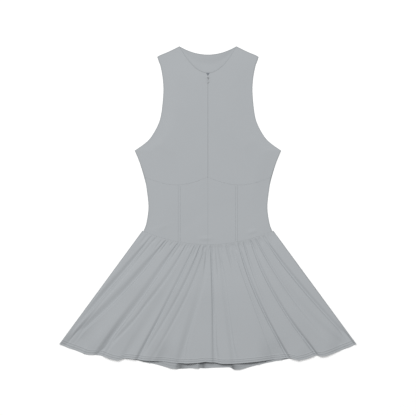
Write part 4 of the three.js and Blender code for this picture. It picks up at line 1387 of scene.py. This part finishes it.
@dataclass
class Zip:
    """The concealed zip: two tapes, the coil, the slider and its pull.

    Each of the coil's two spirals takes up spiral_share of its width. The pull's tab starts tab_start from the pin,
    widens from its neck over neck_way and is sunk on both faces: across over sunk_share of its width, and along from
    sunk_from beyond the pin to sunk_to_tip before the tip. Droop is the head's part of the CAD node's height.
    """

    wardrobe: Wardrobe
    coil_half: float = 1.2 * MM
    coil_pitch: float = 1.3 * MM
    wire: float = 0.21 * MM
    spiral_share: float = 0.62
    tab_start: float = 1.0 * MM
    tab_thick: float = 1.0 * MM
    neck_half: float = 1.2 * MM
    neck_end: float = 3.0 * MM
    neck_way: float = 8.0 * MM
    sunk: float = 0.22 * MM
    sunk_share: float = 0.62
    sunk_step: float = 0.15
    sunk_from: float = 5 * MM
    sunk_from_way: float = 2 * MM
    sunk_to_tip: float = 1.6 * MM
    sunk_to_way: float = 1.5 * MM
    least_tip: float = 0.05
    droop: float = 1.9 * MM
    ring_radius: float = 1.2 * MM
    ring_wire: float = 0.34 * MM
    ring_pitch: float = 0.72 * MM

    def tape(self, node: str) -> None:
        """Args:
            node: the CAD node, whose name with a capital is the piece's.
        """
        low, high = node_box(node)
        across, down = shares(8, 0.03), shares(60, 0.002)
        x, y = np.meshgrid(lerp(low[0], high[0], across), lerp(high[1], low[1], down))
        grid = ClothGrid(x, y, np.full_like(x, low[2]), np.full_like(x, high[2] - low[2]), x, y)
        rim = 0.15 * MM
        piece = grid.build(node.capitalize(), self.wardrobe.tape, (rim, rim, rim, rim))
        put(piece, Body.DRESS, [node])

    def coil(self) -> None:
        """Build the coil as two interlocked spirals of nylon wire.

        A spiral's middle is at side·a·cos(q), pitch·q/2pi and b·sin(q) about its own axis, with q along the zip.
        """
        low, high = node_box("zip_coil")
        middle_z = (low[2] + high[2]) / 2
        turns = (high[1] - low[1] - 3 * self.wire) / self.coil_pitch
        points_a_turn = 10
        q = np.linspace(0, (turns - 0.5) * 2 * np.pi, int(turns * points_a_turn))
        half_high = (high[2] - low[2]) / 2 - self.wire
        half_wide = self.coil_half * self.spiral_share - self.wire
        ways = []
        for side in (-1, 1):
            x = side * (self.coil_half * (1 - self.spiral_share) + half_wide * np.cos(q))
            y = high[1] - self.wire * 1.5 - self.coil_pitch * (q / (2 * np.pi) + (side > 0) / 2)
            ways.append(np.stack([x, y, middle_z + half_high * np.sin(q)], -1))
        piece = tubes("Zip_coil", ways, self.wire, 5, self.wardrobe.coil)
        put(piece, Body.DRESS, ["zip_coil"])

    def hollow(self, w: Array, distance: Array, reach: float) -> Array:
        """Work out how deep a face of the pull's tab is sunk.

        Args:
            w: place across, from -1 to 1.
            distance: from the pin.
            reach: the tab's end.

        Returns:
            The depth: full in its middle, by soft steps to its rim.
        """
        across = smooth((self.sunk_share - np.abs(w)) / self.sunk_step)
        start = smooth((distance - self.sunk_from) / self.sunk_from_way)
        end = smooth((reach - self.sunk_to_tip - distance) / self.sunk_to_way)
        return self.sunk * across * start * end

    def pull(self) -> None:
        """Build the pull: a drop-shaped tab with a sunk middle, and the loops that hold it on the slider's pin."""
        low, high = node_box("zip_pull")
        joint = next(j for j in frame["joints"] if j["child"] == Body.PULL.value)
        pin = np.array(joint["pos_m"])
        reach, half = pin[1] - low[1], (high[0] - low[0]) / 2
        s, w = shares(40, 0.02)[:, None], shares(20, 0.06)[None, :] * 2 - 1
        distance = lerp(self.tab_start, reach, s)
        tip = np.sqrt(np.clip(1 - ((distance - reach + half) / half)**2, 0, 1))
        belly = lerp(self.neck_half, half, smooth((distance - self.neck_end) / self.neck_way))
        width = belly * np.where(distance > reach - half, np.maximum(tip, self.least_tip), 1)
        thick = self.tab_thick - 2 * self.hollow(w, distance, reach)
        x, y = width * w, -distance + 0 * w
        rim = 0.3 * MM
        tab = ClothGrid(x, y, -thick / 2, thick, x, y).build("Zip_pull", self.wardrobe.metal, (rim, rim, rim, rim))
        turned_about_pin(tab, np.arctan2(high[2] - low[2] - self.droop, reach), pin)
        put(tab, Body.PULL, ["zip_pull"])
        angle = np.linspace(0, 2 * np.pi, 25)
        loop = np.stack([0 * angle, np.cos(angle), np.sin(angle)], -1) * self.ring_radius
        loops = [loop + pin + np.array([k * self.ring_pitch, 0, 0]) for k in (-1, 0, 1)]
        piece = tubes("Zip_pull_ring", loops, self.ring_wire, 8, self.wardrobe.metal)
        put(piece, Body.PULL)

    def build(self) -> None:
        """Build every part of the zip, and finish the CAD nodes that stay."""
        self.tape("zip_tape_right")
        self.tape("zip_tape_left")
        self.coil()
        self.pull()
        for node in ("zip_slider", "zip_stop"):
            mesh = frame["nodes"][node].data
            mesh.materials.clear()
            mesh.materials.append(self.wardrobe.metal)


def tubes(name: str, ways: Sequence[Array], radius: float, sides: int,
          material: bpy.types.Material) -> bpy.types.Object:
    """Carry a round section along paths, and close both ends of each.

    A section's points are way + radius (cos(a) n + sin(a) b), with n and b square to the path.

    Args:
        name: the piece's name.
        ways: paths of shape (n, 3).
        radius: the section's radius.
        sides: the section's number of sides.
        material: its finish.

    Returns:
        The tubes as one object.
    """
    angle = np.arange(sides) * 2 * np.pi / sides
    vertices, faces, used = [], [], 0
    for way in ways:
        along = np.gradient(way, axis=0)
        along /= np.linalg.norm(along, axis=1)[:, None]
        reference = np.array([0.0, 1.0, 0.0]) if np.ptp(way[:, 0]) > 0 else np.array([1.0, 0.0, 0.0])
        n = np.cross(along, reference)
        n /= np.linalg.norm(n, axis=1)[:, None]
        b = np.cross(along, n)
        ring = np.cos(angle)[:, None] * n[:, None] + np.sin(angle)[:, None] * b[:, None]
        around, ends = tube_faces(len(way), sides)
        faces += (around + used).tolist() + (ends + used).tolist()
        vertices.append((way[:, None] + radius * ring).reshape(-1, 3))
        used += len(way) * sides
    return make_object(name, np.vstack(vertices), faces, material)


def turned_about_pin(piece: bpy.types.Object, tilt: float, pin: Array) -> None:
    """Turn a mesh down about the X axis, and move it from the origin to the pin.

    Args:
        piece: the object.
        tilt: the angle.
        pin: where the axis is.
    """
    mesh = piece.data
    co = np.empty(len(mesh.vertices) * 3, np.float32)
    mesh.vertices.foreach_get("co", co)
    co = co.reshape(-1, 3)
    y = co[:, 1] * np.cos(tilt) - co[:, 2] * np.sin(tilt)
    z = co[:, 1] * np.sin(tilt) + co[:, 2] * np.cos(tilt)
    mesh.vertices.foreach_set("co", (np.stack([co[:, 0], y, z], -1) + pin).astype(np.float32).ravel())
    mesh.update()


@dataclass
class Studio:
    """A plain pale floor, soft light from the upper left and a camera straight above."""

    floor_size: float = 8.0
    floor_colour: Colour = (0.7, 0.7, 0.7)
    camera_height: float = 3.0
    sensor: float = 36.0
    key_from: tuple[float, float, float] = (-0.9, 2.1, 6.0)
    key_size: float = 2.4
    key_strength: float = 353.0
    sky: float = 0.25
    floor_glow: float = 0.34
    floor_gap: float = 0.3 * MM
    grain_scale: float = 60.0
    grain_shade: float = 0.005

    def floor(self) -> None:
        """Lay the floor just under the cloth."""
        half, z = self.floor_size / 2, -self.floor_gap
        corners = np.array([(-half, -half, z), (half, -half, z), (half, half, z), (-half, half, z)])
        material, graph, surface = new_material("Pale floor")
        place = graph.node("ShaderNodeTexCoord").outputs["Object"]
        grain = graph.node("ShaderNodeTexNoise", Vector=place, Scale=self.grain_scale, Detail=3.0).outputs[0]
        colour = graph.mix(grain, shaded(self.floor_colour, 1 - self.grain_shade),
                           shaded(self.floor_colour, 1 + self.grain_shade))
        graph.feed(surface, Base_Color=colour, Roughness=0.9, Specular_IOR_Level=0.1, Emission_Color=(1, 1, 1, 1),
                   Emission_Strength=self.floor_glow)
        make_object("Floor", corners, [(0, 1, 2, 3)], material)

    def lights(self) -> None:
        """Light the dress softly from the upper left, and fill in from an even sky."""
        lamp = bpy.data.lights.new("Key", "AREA")
        lamp.shape = "DISK"
        lamp.size = self.key_size
        lamp.energy = self.key_strength
        key = bpy.data.objects.new("Key", lamp)
        key.location = self.key_from
        key.rotation_euler = looking(-np.array(self.key_from))
        bpy.context.scene.collection.objects.link(key)
        world = bpy.data.worlds.new("Sky")
        world.use_nodes = True
        background = world.node_tree.nodes["Background"]
        background.inputs["Color"].default_value = (1, 1, 1, 1)
        background.inputs["Strength"].default_value = self.sky
        bpy.context.scene.world = world
        bpy.context.scene.view_settings.view_transform = "Standard"

    def camera(self) -> None:
        """Look straight down, with the photograph's frame and the neck at the top."""
        data = bpy.data.cameras.new("Camera")
        data.sensor_width = self.sensor
        data.lens = self.sensor * self.camera_height / (PHOTO_PIXELS * PIXEL)
        data.clip_end = 50
        camera = bpy.data.objects.new("Camera", data)
        camera.location = (*PHOTO_CENTRE, self.camera_height)
        bpy.context.scene.collection.objects.link(camera)
        bpy.context.scene.camera = camera

    def build(self) -> None:
        """Set up the camera, the floor and the lights."""
        self.camera()
        self.floor()
        self.lights()


def looking(direction: Array) -> tuple[float, float, float]:
    """Return the rotation that turns a lamp's -Z towards a direction."""
    x, y, z = direction / np.linalg.norm(direction)
    return (float(np.arccos(-z)), 0.0, float(np.arctan2(y, x) - np.pi / 2))


def main() -> None:
    """Build the dress and its studio in order, and report each piece."""
    logging.basicConfig(level=logging.INFO, format="%(name)s: %(message)s")
    Studio().build()
    wardrobe = Wardrobe.make()
    bodice = Bodice(wardrobe)
    bodice.build()
    skirt = Skirt(wardrobe)
    skirt.build()
    Zip(wardrobe).build()
    Stitching(wardrobe).build(skirt, bodice.relief)


if __name__ == "__main__":
    main()
